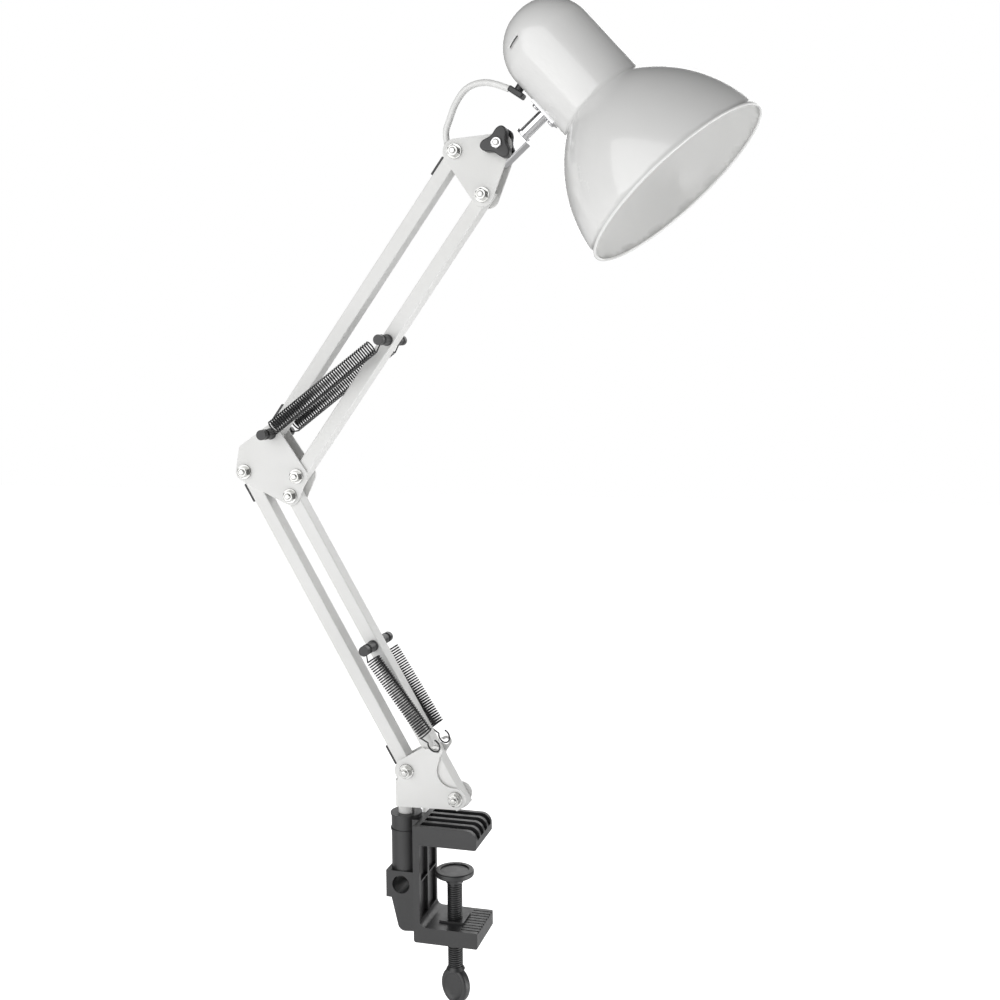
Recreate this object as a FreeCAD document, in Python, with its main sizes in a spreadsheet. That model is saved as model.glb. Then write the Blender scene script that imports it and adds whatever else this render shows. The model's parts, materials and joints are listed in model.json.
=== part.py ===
import FreeCAD, Part
import math
import os
import re
from types import SimpleNamespace
from FreeCAD import Placement, Rotation, Vector

# Swing arm desk lamp, millimetres, +Z up.
# The origin is on the clamp screw's axis in the desk face of the top jaw; the arms fold in the XZ plane.

SIZES = {
    # clamp
    "jaw_reach": (25.0, "screw axis to the jaws' tips"),
    "jaw_depth": (44.4, "width of the clamp along Y"),
    "throat": (65.0, "desk face to the lower jaw"),
    "throat_back": (22.0, "screw axis to the back of the throat"),
    "top_jaw": (15.0, "height of the top jaw with its ribs"),
    "top_slab": (7.0, "height of the top jaw below its ribs"),
    "low_jaw": (12.5, "height of the lower jaw"),
    "rib": (3.6, "width of a rib"),
    "spine_depth": (2.6, "depth of the hollow in the spine"),
    "spine_web": (2.6, "web of the spine"),
    "jaw_round": (8.0, "round end of the top jaw"),
    "throat_round": (5.0, "round of the throat's lower corner"),
    "grip_score": (1.2, "fine groove on the lower jaw"),
    "screw_plinth": (20.0, "raised square round the screw"),
    "plinth_height": (1.6, "height of that square"),
    "socket_band": (1.4, "raised band round the socket"),
    "socket_radius": (12.0, "outside of the post socket"),
    "socket_top": (18.0, "top of the socket over the desk face"),
    "cross_radius": (7.2, "cross bore in the box boss"),
    "boss_side": (24.8, "box boss along X"),
    "boss_depth": (26.0, "box boss along Y"),
    "boss_height": (21.5, "box boss along Z"),
    "boss_mid": (-36.8, "height of the cross bore"),
    "screw_radius": (6.0, "clamp screw over its thread"),
    "screw_play": (0.1, "radial play of the screw in the jaw"),
    "nose_radius": (4.0, "nose of the screw in the pad"),
    "nose_length": (5.0, "nose of the screw"),
    "screw_top": (-35.5, "shoulder of the screw under the desk face"),
    "screw_foot": (-104.0, "bottom of the threaded part"),
    "pad_radius": (15.5, "clamp pad"),
    "pad_height": (4.4, "height of the pad's disc"),
    "pad_lift": (5.8, "screw shoulder to the underside of the pad's disc"),
    "pad_gap": (0.3, "end play of the screw in the pad"),
    "paddle_length": (29.0, "thumb paddle, longest"),
    "paddle_width": (25.0, "thumb paddle, shortest"),
    "paddle_thick": (7.6, "thumb paddle thickness"),
    "paddle_turn": (-20.0, "turn of the paddle about the screw"),
    # base bracket
    "sheet": (1.5, "bracket sheet"),
    "side_gap": (0.7, "bar to bracket plate, each side"),
    "post_x": (-40.0, "axis of the post"),
    "post_radius": (6.35, "post"),
    "post_play": (0.08, "radial play of the post in its socket"),
    "post_foot": (-20.0, "bottom of the post"),
    "post_slit": (5.0, "slit of the rolled post"),
    "bracket_foot": (24.5, "bottom edge of the base bracket"),
    "spine_top": (46.0, "top of the base bracket's spine"),
    "spine_round": (3.0, "outside bend of the base bracket"),
    "ear_radius": (8.5, "bracket round its second pivot"),
    "corner_radius": (10.0, "bracket round its first pivot"),
    "bracket_hollow": (13.0, "hollow edge between pivot and hook"),
    "grommet_x": (-30.0, "lead's hole in the rear plate, X"),
    "grommet_z": (36.0, "lead's hole in the rear plate, Z"),
    "grommet_radius": (4.2, "lead's hole in the rear plate"),
    # pivots
    "base_x": (-36.2, "first base pivot, X"),
    "base_z": (53.5, "first base pivot, Z"),
    "base_run": (40.4, "first to second base pivot, X"),
    "base_rise": (-19.0, "first to second base pivot, Z"),
    "lower_run": (-137.1, "lower arm, X"),
    "lower_rise": (236.6, "lower arm, Z"),
    "elbow_run": (24.2, "elbow: lower left pivot to peg, X"),
    "elbow_rise": (31.2, "elbow: lower left pivot to peg, Z"),
    "link_run": (46.1, "elbow: lower left pivot to upper right pivot, X"),
    "link_rise": (-3.0, "elbow: lower left pivot to upper right pivot, Z"),
    "upper_run": (158.6, "upper arm, X"),
    "upper_rise": (219.0, "upper arm, Z"),
    "tilt_run": (36.5, "head: upper left pivot to the knob, X"),
    "tilt_rise": (3.0, "head: upper left pivot to the knob, Z"),
    # bars
    "bar_width": (11.0, "bar across, in the plane of the lamp"),
    "bar_depth": (14.0, "bar along Y"),
    "bar_wall": (1.2, "bar wall"),
    "bar_round": (1.0, "long edges of a bar"),
    "bar_end": (6.0, "bar past its pivot"),
    "bar_foot": (9.0, "lower right bar past its base pivot"),
    "clip_length": (16.5, "cord clip"),
    "clip_thick": (1.8, "cord clip, proud of the bar"),
    "clip_inset": (8.5, "pivot to the nearer end of a clip"),
    "clip_round": (1.2, "outer edges of a clip"),
    # fasteners
    "bolt_radius": (2.5, "pivot bolt"),
    "bolt_play": (0.08, "radial play on a bolt"),
    "bush_radius": (3.1, "bush in a bar"),
    "nut_flats": (8.0, "nut across flats"),
    "nut_height": (4.0, "nut height"),
    "washer_radius": (6.0, "washer"),
    "washer_thick": (1.2, "washer"),
    "bolt_proud": (1.5, "bolt end past its nut"),
    # spring pegs and springs
    "peg_reach": (27.7, "lamp's plane to a peg's end"),
    "peg_radius": (4.1, "peg"),
    "peg_collar": (4.6, "collar of a peg beside the bar"),
    "peg_groove": (3.0, "groove for a spring's loop"),
    "peg_hook": (21.0, "lamp's plane to the groove"),
    "peg_share": (0.497, "place of the arm pegs along a bar"),
    "spring_radius": (5.0, "spring, outside"),
    "spring_wire": (1.1, "spring wire"),
    "spring_lead": (9.0, "hook before the first coil"),
    "hook_radius": (4.4, "hook ear, outside"),
    "hook_bore": (2.3, "hook ear, inside"),
    "hook_splay": (24.0, "outward bend of a hook ear"),
    "hook_mouth": (2.4, "slit of a hook ear"),
    "hook_foot": (13.0, "hook ear along its crease"),
    "hook_side": (3.5, "hook centre along the crease"),
    "hook_rise": (8.5, "hook centre over the crease"),
    "crease_run": (20.5, "first base pivot to the crease, X"),
    "crease_rise": (14.5, "first base pivot to the crease, Z"),
    "crease_tilt": (24.5, "fall of the crease"),
    # head
    "knob_radius": (13.4, "knob over its lobes"),
    "knob_thick": (9.0, "knob"),
    "knob_gap": (0.3, "knob to its washer"),
    "knob_waist": (5.8, "knob at its waist"),
    "knob_hollow": (7.0, "hollow between two lobes"),
    "knob_turn": (69.0, "first lobe over the horizontal"),
    "knob_edge": (0.9, "edge of the knob"),
    "lobe_radius": (4.2, "round of a lobe"),
    "yoke_gap": (0.25, "yoke to head plate, each side"),
    "yoke_sheet": (1.5, "yoke sheet"),
    "yoke_back": (13.0, "tilt axis to the yoke's web"),
    "yoke_front": (8.0, "tilt axis to the yoke's open side"),
    "yoke_tail": (11.0, "tilt axis to the yoke's lower end"),
    "yoke_nose": (16.5, "tilt axis to the yoke's top tab"),
    "stem_radius": (4.9, "stem tube"),
    "stem_bore": (3.6, "stem tube, inside"),
    "stem_play": (0.1, "stem in the yoke"),
    "stem_offset": (4.9, "stem axis beside the tilt axis"),
    "shade_lean": (41.4, "stem over the horizontal"),
    "shade_turn": (-3.4, "shade turned about its stem"),
    "shade_reach": (77.0, "tilt axis to the shade's axis"),
    "stem_height": (111.5, "rim plane to the stem's axis"),
    # shade
    "rim_radius": (80.0, "shade rim"),
    "neck_radius": (37.0, "shade neck"),
    "bell_height": (83.2, "rim to the neck"),
    "bell_swell": (9.8, "bow of the bell over its chord"),
    "neck_end": (146.0, "rim to the dome"),
    "neck_fillet": (5.0, "hollow round between bell and neck"),
    "shade_wall": (0.8, "shade wall"),
    "rim_bead": (1.2, "rolled bead at the rim"),
    "vent_length": (12.0, "air slot"),
    "vent_width": (2.0, "air slot"),
    "saddle_sheet": (1.4, "saddle plate"),
    "saddle_length": (25.0, "saddle plate along the neck"),
    "saddle_width": (16.0, "saddle plate across the neck"),
    "saddle_pitch": (18.0, "saddle screws"),
    "screw_shank": (1.6, "saddle screw"),
    "holder_radius": (19.0, "lamp holder"),
    "holder_bore": (13.3, "lamp holder thread"),
    "holder_mouth": (118.0, "rim to the holder's mouth"),
    "holder_length": (46.0, "lamp holder"),
    "holder_depth": (27.0, "depth of the lamp holder's thread"),
    "strap_width": (14.0, "strap that carries the holder"),
    "strap_sheet": (1.2, "strap that carries the holder"),
    "strap_margin": (3.5, "ring of the strap round the holder"),
    "strap_height": (146.0, "rim plane to the strap"),
    "gland_height": (141.0, "rim plane to the gland"),
    "gland_neck": (3.4, "gland's stub in the shade"),
    "gland_tilt": (-14.0, "gland's lean on the shade"),
    "gland_long": (13.5, "gland cap, longest"),
    "gland_wide": (10.0, "gland cap, across"),
    "gland_thick": (4.5, "gland cap"),
    "cord_radius": (2.6, "lead"),
    "channel_side": (2.4, "lead's axis beside a channel's axis"),
    "channel_inset": (8.5, "pivot to the held part of the lead"),
    "lead_out": (6.6, "lead's axis beside a pivot"),
    "lead_past": (2.0, "held lead past a pivot"),
    "lead_rise": (12.2, "lead's axis beside the head's pivot, where it leaves the arm"),
    "lead_leave": (6.0, "head's pivot to the bend where the lead leaves the channel"),
    "arc_share": (0.45, "share of a run that an arc takes"),
    "peg_gap": (0.1, "peg cap to its bar"),
    "hank_x": (-46.0, "middle of the hank, X"),
    "hank_y": (36.2, "middle of the hank, Y"),
    "hank_wide": (32.0, "hank along X"),
    "hank_deep": (27.0, "hank along Y"),
    "hank_long": (80.0, "hank along Z"),
    "hank_top": (2.0, "top of the hank"),
    "plug_wide": (34.0, "plug along X"),
    "plug_deep": (13.0, "plug along Y"),
    "plug_long": (36.0, "plug along Z"),
    "relief_long": (24.0, "plug's strain relief"),
    "pin_pitch": (18.6, "plug pins"),
    "pin_long": (19.0, "plug pins"),
}

doc = FreeCAD.newDocument("SwingArmLamp")
sheet = doc.addObject("Spreadsheet::Sheet", "Sizes")
for row, (alias, (value, note)) in enumerate(SIZES.items(), start=1):
    sheet.set("A%d" % row, alias)
    sheet.set("B%d" % row, repr(value))
    sheet.setAlias("B%d" % row, alias)
    sheet.set("C%d" % row, note)
doc.recompute()
S = SimpleNamespace(**{alias: value for alias, (value, note) in SIZES.items()})

X, Y, Z = Vector(1, 0, 0), Vector(0, 1, 0), Vector(0, 0, 1)
FRONT = Vector(0, -1, 0)


# ---------------------------------------------------------------- building blocks

def bind(obj, **expressions):
    """Ties properties of obj to the sheet; each text names cells without their sheet."""
    for prop, text in expressions.items():
        obj.setExpression(prop, re.sub(r"[a-z]+(_[a-z]+)*", in_sheet, text))
    return obj


def in_sheet(word):
    return "Sizes." + word.group() if word.group() in SIZES else word.group()


def place(obj, base=Vector(0, 0, 0), axis=Z, spin=0.0):
    """Puts obj with its own Z along axis and its origin at base."""
    obj.Placement = Placement(base, Rotation(Z, axis).multiply(Rotation(Z, spin)))
    return obj


def cylinder(name, radius, height, base=Vector(0, 0, 0), axis=Z):
    obj = doc.addObject("Part::Cylinder", name)
    return place(bind(obj, Radius=radius, Height=height), base, axis)


def cone(name, low, high, height, base=Vector(0, 0, 0), axis=Z):
    obj = doc.addObject("Part::Cone", name)
    return place(bind(obj, Radius1=low, Radius2=high, Height=height), base, axis)


def block(name, size, corner):
    """A box of three bound sides whose lowest corner is at corner."""
    obj = bind(doc.addObject("Part::Box", name), Length=size[0], Width=size[1], Height=size[2])
    obj.Placement.Base = corner
    return obj


def hexagon(name, flats, height, base, axis=Z):
    obj = doc.addObject("Part::Prism", name)
    obj.Polygon = 6
    return place(bind(obj, Circumradius="(%s) / 2 / cos(30 deg)" % flats, Height=height), base, axis, 8.0)


def fuse(name, pieces):
    obj = doc.addObject("Part::MultiFuse", name)
    obj.Shapes = pieces
    return obj


def group(name, pieces):
    obj = doc.addObject("Part::Compound", name)
    obj.Links = pieces
    return obj


def cut(name, base, tools):
    obj = doc.addObject("Part::Cut", name)
    obj.Base = base
    obj.Tool = tools[0] if len(tools) == 1 else fuse(name + "_tools", tools)
    return obj


def rounded(name, base, radius, choose):
    """Fillets the edges of base that choose(edge) picks."""
    doc.recompute()
    obj = doc.addObject("Part::Fillet", name)
    obj.Base = base
    obj.Edges = [(i, radius, radius) for i, edge in enumerate(base.Shape.Edges, start=1) if choose(edge)]
    return obj


def belt(pulleys):
    """Edges of a closed outline laid round (x, y, r) circles in turn, counter-clockwise.

    A negative r is a hollow corner, and r of 0 is a sharp one."""
    spans = []
    for (x0, y0, r0), (x1, y1, r1) in zip(pulleys, pulleys[1:] + pulleys[:1]):
        gap = math.hypot(x1 - x0, y1 - y0)
        heading = math.atan2(y1 - y0, x1 - x0) - math.asin((r1 - r0) / gap)
        out = heading - math.pi / 2
        start = Vector(x0 + r0 * math.cos(out), y0 + r0 * math.sin(out), 0)
        end = Vector(x1 + r1 * math.cos(out), y1 + r1 * math.sin(out), 0)
        spans.append((start, end, out))
    edges = []
    for i, (x, y, r) in enumerate(pulleys):
        start, end, out = spans[i]
        arrive = spans[i - 1][2]
        if abs(r) > 0:
            circle = Part.Circle(Vector(x, y, 0), Z, abs(r))
            a0, a1 = (arrive, out) if r > 0 else (out + math.pi, arrive + math.pi)
            edges.append(Part.ArcOfCircle(circle, a0, a0 + (a1 - a0) % (2 * math.pi)))
        edges.append(Part.LineSegment(start, end))
    return edges


def sketch(body, role, edges):
    """A sketch of the given edges on one of the body's own origin planes."""
    plane = next(f for f in body.Origin.OriginFeatures if f.Role == role)
    drawn = body.newObject("Sketcher::SketchObject", body.Name + "_outline")
    drawn.AttachmentSupport = [(plane, "")]
    drawn.MapMode = "FlatFace"
    drawn.addGeometry(edges, False)
    return drawn


def plate(name, edges, thick, back):
    """An outline in the XZ plane, its rear face at y = back and its front face thick nearer."""
    body = doc.addObject("PartDesign::Body", name)
    pad = body.newObject("PartDesign::Pad", name + "_pad")
    pad.Profile = sketch(body, "XZ_Plane", edges)
    bind(pad, Length=thick)
    body.Placement.Base = Vector(0, back, 0)
    return body


def turned(name, edges):
    """A closed profile in the XZ plane revolved about Z."""
    body = doc.addObject("PartDesign::Body", name)
    spin = body.newObject("PartDesign::Revolution", name + "_turn")
    profile = sketch(body, "XZ_Plane", edges)
    spin.Profile = profile
    spin.ReferenceAxis = (profile, ["V_Axis"])
    spin.Angle = 360
    return body


NODES = {}


def node(name, obj):
    """Registers obj as the finished sub-part of that name."""
    obj.Label = name
    NODES[name] = obj
    return obj


# ---------------------------------------------------------------- driving places

def point(x, z, y=0.0):
    return Vector(x, y, z)


BASE_LEFT = point(S.base_x, S.base_z)
BASE_RIGHT = BASE_LEFT + point(S.base_run, S.base_rise)
LOWER = point(S.lower_run, S.lower_rise)
UPPER = point(S.upper_run, S.upper_rise)
ELBOW_LEFT = BASE_LEFT + LOWER
ELBOW_RIGHT = BASE_RIGHT + LOWER
ELBOW_PEG = ELBOW_LEFT + point(S.elbow_run, S.elbow_rise)
ELBOW_LINK = ELBOW_LEFT + point(S.link_run, S.link_rise)
HEAD_LEFT = ELBOW_PEG + UPPER
HEAD_RIGHT = ELBOW_LINK + UPPER
TILT = HEAD_LEFT + point(S.tilt_run, S.tilt_rise)
LOWER_PEG = BASE_RIGHT + LOWER * S.peg_share
UPPER_PEG = ELBOW_LINK + UPPER * S.peg_share

plate_in = S.bar_depth / 2 + S.side_gap       # lamp's plane to a plate's inner face
plate_out = plate_in + S.sheet                # and to its outer face
PLATE_OUT = "(bar_depth / 2 + side_gap + sheet)"
bolt_bore = "bolt_radius + bolt_play"


def across(name, radius, at):
    """A cutting rod along Y through both plates at one pivot."""
    return cylinder(name, radius, "2 * %s + 2" % PLATE_OUT, at + Y * (plate_out + 1), FRONT)


# ---------------------------------------------------------------- clamp

def clamp_body():
    half, back, low = S.jaw_depth / 2, -S.throat_back, -S.throat - S.low_jaw
    heel = back - S.spine_depth - S.spine_web
    frame = plate("clamp_frame", belt([
        (heel + 2, low + 2, 2), (S.jaw_reach - 1.5, low + 1.5, 1.5), (S.jaw_reach - 1, -S.throat - 1, 1),
        (back + S.throat_round, -S.throat + S.throat_round, -S.throat_round), (back, 0, 0),
        (S.jaw_reach - 2, 2, 2), (S.jaw_reach - S.jaw_round, S.top_jaw - S.jaw_round, S.jaw_round),
        (heel + 1, S.top_jaw - 1, 1)]), "jaw_depth", half)
    pitch = (S.jaw_depth - S.rib) / 4
    grooves = [block("top_groove_%d" % i, ("throat_back + jaw_reach + 2", "(jaw_depth - rib) / 4 - rib",
                                           "top_jaw - top_slab + 1"),
                     Vector(back, -half + S.rib + i * pitch, S.top_slab)) for i in range(4)]
    hollows = [block("spine_hollow_%d_%d" % (i, j), ("spine_depth + 1", "jaw_depth / 2 - rib * 1.5",
                                                     "throat / 2 - rib"),
                     Vector(heel + S.spine_web, -half + S.rib + j * (half - S.rib / 2),
                            -S.throat + S.throat_round + i * (S.throat / 2 - S.throat_round / 2)))
               for i in range(2) for j in range(2)]
    fine_pitch = S.jaw_depth / 10
    scores = [block("grip_score_%d" % i, ("jaw_reach - screw_plinth / 2 + 1", "grip_score", "grip_score"),
                    Vector(S.screw_plinth / 2, -half + (i + 1) * fine_pitch - S.grip_score / 2,
                           -S.throat - S.grip_score)) for i in range(9)]
    frame = cut("clamp_frame_cut", frame, grooves + hollows + scores)
    plinth = block("screw_plinth_block", ("screw_plinth", "screw_plinth", "plinth_height + 1"),
                   Vector(-S.screw_plinth / 2, -S.screw_plinth / 2, -S.throat - 1))
    socket = cylinder("socket_wall", "socket_radius", "socket_top - boss_mid", point(S.post_x, S.boss_mid))
    bands = [cylinder("socket_band_%d" % i, "socket_radius + socket_band / 2", "socket_band",
                      point(S.post_x, z)) for i, z in enumerate((4.5, S.socket_top - S.socket_band))]
    web = block("socket_web", ("0 - throat_back - spine_depth - post_x - 1", "socket_radius * 1.5",
                               "top_jaw + throat + low_jaw / 2"),
                Vector(S.post_x, -S.socket_radius * 0.75, -S.throat - S.low_jaw / 2))
    tail = plate("socket_tail", belt([
        (heel + 1, low + 3, 0), (heel + 2, S.boss_mid, 0), (S.post_x - S.socket_radius + 1, S.boss_mid, 0),
        (S.post_x - S.socket_radius + 1.5, S.boss_mid - S.boss_height / 2, 0),
        (S.post_x + 1, low + 8, 6)]), "socket_radius * 1.6", S.socket_radius * 0.8)
    boss = block("box_boss", ("boss_side", "boss_depth", "boss_height"),
                 Vector(S.post_x - S.boss_side / 2 - 0.8, -S.boss_depth / 2, S.boss_mid - S.boss_height / 2))
    body = fuse("clamp_solid", [frame, plinth, socket, web, tail, boss] + bands)
    post_hole = cylinder("socket_bore", "post_radius + post_play", "socket_top - post_foot + 2",
                         point(S.post_x, S.post_foot - 1))
    cross = cylinder("cross_bore", "cross_radius", "boss_depth + 2",
                     point(S.post_x - 0.8, S.boss_mid, S.boss_depth / 2 + 1), FRONT)
    screw_hole = cylinder("screw_hole", "screw_radius + screw_play", "low_jaw + plinth_height + 2",
                          point(0, low - 1))
    node("clamp_body", cut("clamp_body_solid", body, [post_hole, cross, screw_hole]))


def clamp_screw():
    rod = cylinder("screw_rod", "screw_radius", "screw_top - screw_foot", point(0, S.screw_foot))
    nose = cylinder("screw_nose", "nose_radius", "nose_length", point(0, S.screw_top))
    collar = cone("screw_collar", "screw_radius + 1.5", "screw_radius", "3", point(0, S.screw_foot - 2))
    low = S.paddle_length / 2 - S.paddle_width / 2
    oval = plate("paddle_oval", belt([(0, -low, S.paddle_width / 2), (0, low, S.paddle_width / 2)]),
                 "paddle_thick", S.paddle_thick / 2)
    oval = rounded("paddle_round", oval, 2.0, lambda e: e.Length > S.paddle_width / 3)
    dishes = [cylinder("paddle_dish_%d" % i, "paddle_width / 2 - 3.2", "2",
                       Vector(0, side * (S.paddle_thick / 2 - 1), 0), Y * side)
              for i, side in enumerate((-1, 1))]
    paddle = cut("paddle", oval, dishes)
    paddle.Placement = Placement(point(0, S.screw_foot - S.paddle_length / 2), Rotation(Z, S.paddle_turn))
    node("clamp_screw", fuse("clamp_screw_solid", [rod, nose, collar, paddle]))


def clamp_pad():
    low = S.screw_top + S.pad_lift
    disc = rounded("pad_disc", cylinder("pad_blank", "pad_radius", "pad_height", point(0, low)), 1.2,
                   lambda e: e.Length > 2 * S.pad_radius)
    hub = cylinder("pad_hub", "nose_radius + 3", "pad_lift + 1 - pad_gap", point(0, S.screw_top + S.pad_gap))
    dish = cylinder("pad_dish", "pad_radius - 4", "2", point(0, low + S.pad_height - 1))
    seat = cylinder("pad_seat", "nose_radius + screw_play", "nose_length + 2 * pad_gap",
                    point(0, S.screw_top - S.pad_gap))
    node("clamp_pad", cut("clamp_pad_solid", fuse("pad_solid", [disc, hub]), [dish, seat]))


# ---------------------------------------------------------------- base bracket

def hook_ear(name):
    """The bent-out hook of the front plate, that the lower spring's ring hangs in."""
    x, z = S.hook_side, S.hook_rise
    ear = plate(name + "_blank", belt([(-S.hook_foot / 2, -1.5, 0), (S.hook_foot / 2, -1.5, 0),
                                       (x, z, S.hook_radius), (-S.hook_foot / 2 + 2, 3, 1)]), "sheet", 0)
    bore = cylinder(name + "_bore", "hook_bore", "sheet + 2", Vector(x, 1, z), FRONT)
    slot = block(name + "_slot", ("hook_radius + 4", "sheet + 2", "hook_mouth"),
                 Vector(x - S.hook_radius - 4, -S.sheet - 1, z - S.hook_bore))
    ear = cut(name, ear, [bore, slot])
    crease = BASE_LEFT + point(S.crease_run, S.crease_rise, -plate_out + S.sheet)
    ear.Placement = Placement(crease, Rotation(Y, S.crease_tilt).multiply(Rotation(X, S.hook_splay)))
    return ear


def base_bracket():
    left = S.post_x - S.post_radius
    side_x = left + S.spine_round
    outline = [(side_x, S.bracket_foot, 0), (BASE_RIGHT.x, BASE_RIGHT.z, S.ear_radius),
               (BASE_RIGHT.x - 2.2, BASE_RIGHT.z + S.ear_radius + S.bracket_hollow, -S.bracket_hollow),
               (BASE_LEFT.x + 26.5, BASE_LEFT.z + 13.5, 1.5), (BASE_LEFT.x + 14, BASE_LEFT.z + 18.5, 1.5),
               (BASE_LEFT.x, BASE_LEFT.z, S.corner_radius), (side_x, S.spine_top, 0)]
    plates = [plate("base_side_%d" % i, belt(outline), "sheet", back)
              for i, back in enumerate((-plate_in, plate_out))]
    length = S.spine_round + 1
    shell = block("spine_blank", ("spine_round * 2", "2 * " + PLATE_OUT, "spine_top - bracket_foot"),
                  Vector(left, -plate_out, S.bracket_foot))
    shell = rounded("spine_round_out", shell, S.spine_round,
                    lambda e: abs(e.CenterOfMass.x - left) < 0.01
                    and abs(e.tangentAt(e.FirstParameter).z) > 0.9)
    inside = block("spine_inside", ("spine_round * 3", "bar_depth + 2 * side_gap", "spine_top"),
                   Vector(left + S.sheet, -plate_in, 0))
    inside = rounded("spine_round_in", inside, S.spine_round - S.sheet,
                     lambda e: abs(e.CenterOfMass.x - left - S.sheet) < 0.01
                     and abs(e.tangentAt(e.FirstParameter).z) > 0.9)
    trim = block("spine_trim", ("spine_round * 3", "4 * " + PLATE_OUT, "spine_top * 2"),
                 Vector(left + length, -2 * plate_out, 0))
    spine = cut("base_spine", shell, [inside, trim])
    tube = cylinder("post_wall", "post_radius", "bracket_foot - post_foot + 5", point(S.post_x, S.post_foot))
    hollow = cylinder("post_hollow", "post_radius - sheet", "bracket_foot - post_foot + 7",
                      point(S.post_x, S.post_foot - 1))
    slit = block("post_slit_cut", ("post_radius + 2", "post_slit", "bracket_foot - post_foot + 7"),
                 Vector(S.post_x, -S.post_slit / 2, S.post_foot - 1))
    post = cut("rolled_post", tube, [hollow, slit])
    front_ear = hook_ear("hook_ear_front")
    rear_ear = doc.addObject("Part::Mirroring", "hook_ear_rear")
    rear_ear.Source = front_ear
    rear_ear.Normal = Y
    body = fuse("base_bracket_sheet", plates + [spine, post, front_ear, rear_ear])
    grommet_hole = cylinder("grommet_hole", "grommet_radius", "4 * sheet",
                            point(S.grommet_x, S.grommet_z, plate_in - S.sheet), Y)
    holes = [across("base_hole_%d" % i, bolt_bore, at) for i, at in enumerate((BASE_LEFT, BASE_RIGHT))]
    node("base_bracket", cut("base_bracket_solid", body, holes + [grommet_hole]))
    ring = cylinder("grommet_ring", "grommet_radius", "sheet", point(S.grommet_x, S.grommet_z, plate_in), Y)
    lip = cylinder("grommet_lip", "grommet_radius + 1.2", "1.2", point(S.grommet_x, S.grommet_z, plate_out), Y)
    bore = cylinder("grommet_bore", "cord_radius + 0.1", "8", point(S.grommet_x, S.grommet_z, plate_in - 1), Y)
    node("cord_grommet", cut("cord_grommet_solid", fuse("grommet_solid", [ring, lip]), [bore]))


# ---------------------------------------------------------------- fasteners

def fasteners(name, places):
    """The bolts of one bracket, and their nuts and washers, as separate solids."""
    bolts, nuts, washers = [], [], []
    stack = plate_out + S.washer_thick
    for i, at in enumerate(places):
        shank = cylinder("%s_shank_%d" % (name, i), "bolt_radius",
                         "2 * %s + 2 * washer_thick + nut_height + bolt_proud" % PLATE_OUT,
                         at + Y * stack, FRONT)
        head = hexagon("%s_head_%d" % (name, i), "nut_flats", "nut_height - 0.5", at + Y * stack, Y)
        bolts.append(fuse("%s_bolt_%d" % (name, i), [shank, head]))
        nut = hexagon("%s_hex_%d" % (name, i), "nut_flats", "nut_height", at - Y * stack, FRONT)
        thread = cylinder("%s_thread_%d" % (name, i), "bolt_radius", "nut_height + 2",
                          at - Y * (stack - 1), FRONT)
        nuts.append(cut("%s_nut_%d" % (name, i), nut, [thread]))
        for j, (start, way) in enumerate(((-plate_out, FRONT), (plate_out, Y))):
            disc = cylinder("%s_disc_%d_%d" % (name, i, j), "washer_radius", "washer_thick",
                            at + Y * start, way)
            hole = cylinder("%s_eye_%d_%d" % (name, i, j), bolt_bore, "washer_thick + 2",
                            at + Y * start - way, way)
            washers.append(cut("%s_washer_%d_%d" % (name, i, j), disc, [hole]))
    node(name + "_bolts", group(name + "_bolt_set", bolts))
    node(name + "_nuts", group(name + "_nut_set", nuts + washers))


# ---------------------------------------------------------------- bars

def along(start, end):
    """A frame at start with its Z towards end, its Y across the lamp and its X to the bar's right."""
    way = end - start
    return Placement(start, Rotation(Y, math.degrees(math.atan2(way.x, way.z))))


def bar(name, start, end, length, low_end, open_left, pegged):
    """One bar between its two pivots, built upright and laid between them."""
    span = "sqrt(%s_run ^ 2 + %s_rise ^ 2)" % (length, length)
    reach = (end - start).Length
    outer = block(name + "_blank", ("bar_width", "bar_depth", "%s + %s + bar_end" % (span, low_end)),
                  Vector(-S.bar_width / 2, -S.bar_depth / 2, -getattr(S, low_end)))
    outer = rounded(name + "_round", outer, S.bar_round,
                    lambda e: abs(e.tangentAt(e.FirstParameter).z) > 0.9)
    hollow = block(name + "_hollow", ("bar_width - 2 * bar_wall + %s" % ("bar_wall + 1" if open_left else "0"),
                                      "bar_depth - 2 * bar_wall", "%s + %s + bar_end + 2" % (span, low_end)),
                   Vector(-S.bar_width / 2 + (-1 if open_left else S.bar_wall),
                          -S.bar_depth / 2 + S.bar_wall, -getattr(S, low_end) - 1))
    holes = [cylinder("%s_hole_%d" % (name, i), "bush_radius", "bar_depth + 2",
                      Vector(0, S.bar_depth / 2 + 1, z), FRONT) for i, z in enumerate((0, reach))]
    if pegged:
        holes.append(cylinder(name + "_peg_hole", bolt_bore, "bar_depth + 2",
                              Vector(0, S.bar_depth / 2 + 1, reach * S.peg_share), FRONT))
    solid = cut(name + "_solid", outer, [hollow] + holes)
    solid.Placement = along(start, end)
    node(name, solid)
    bushes = []
    for i, at in enumerate((start, end)):
        sleeve = cylinder("%s_sleeve_%d" % (name, i), "bush_radius", "bar_depth + side_gap",
                          at + Y * (S.bar_depth + S.side_gap) / 2, FRONT)
        bushes.append(cut("%s_bush_%d" % (name, i), sleeve,
                          [across("%s_bush_bore_%d" % (name, i), bolt_bore, at)]))
    node(name + "_bushes", group(name + "_bush_set", bushes))


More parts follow.
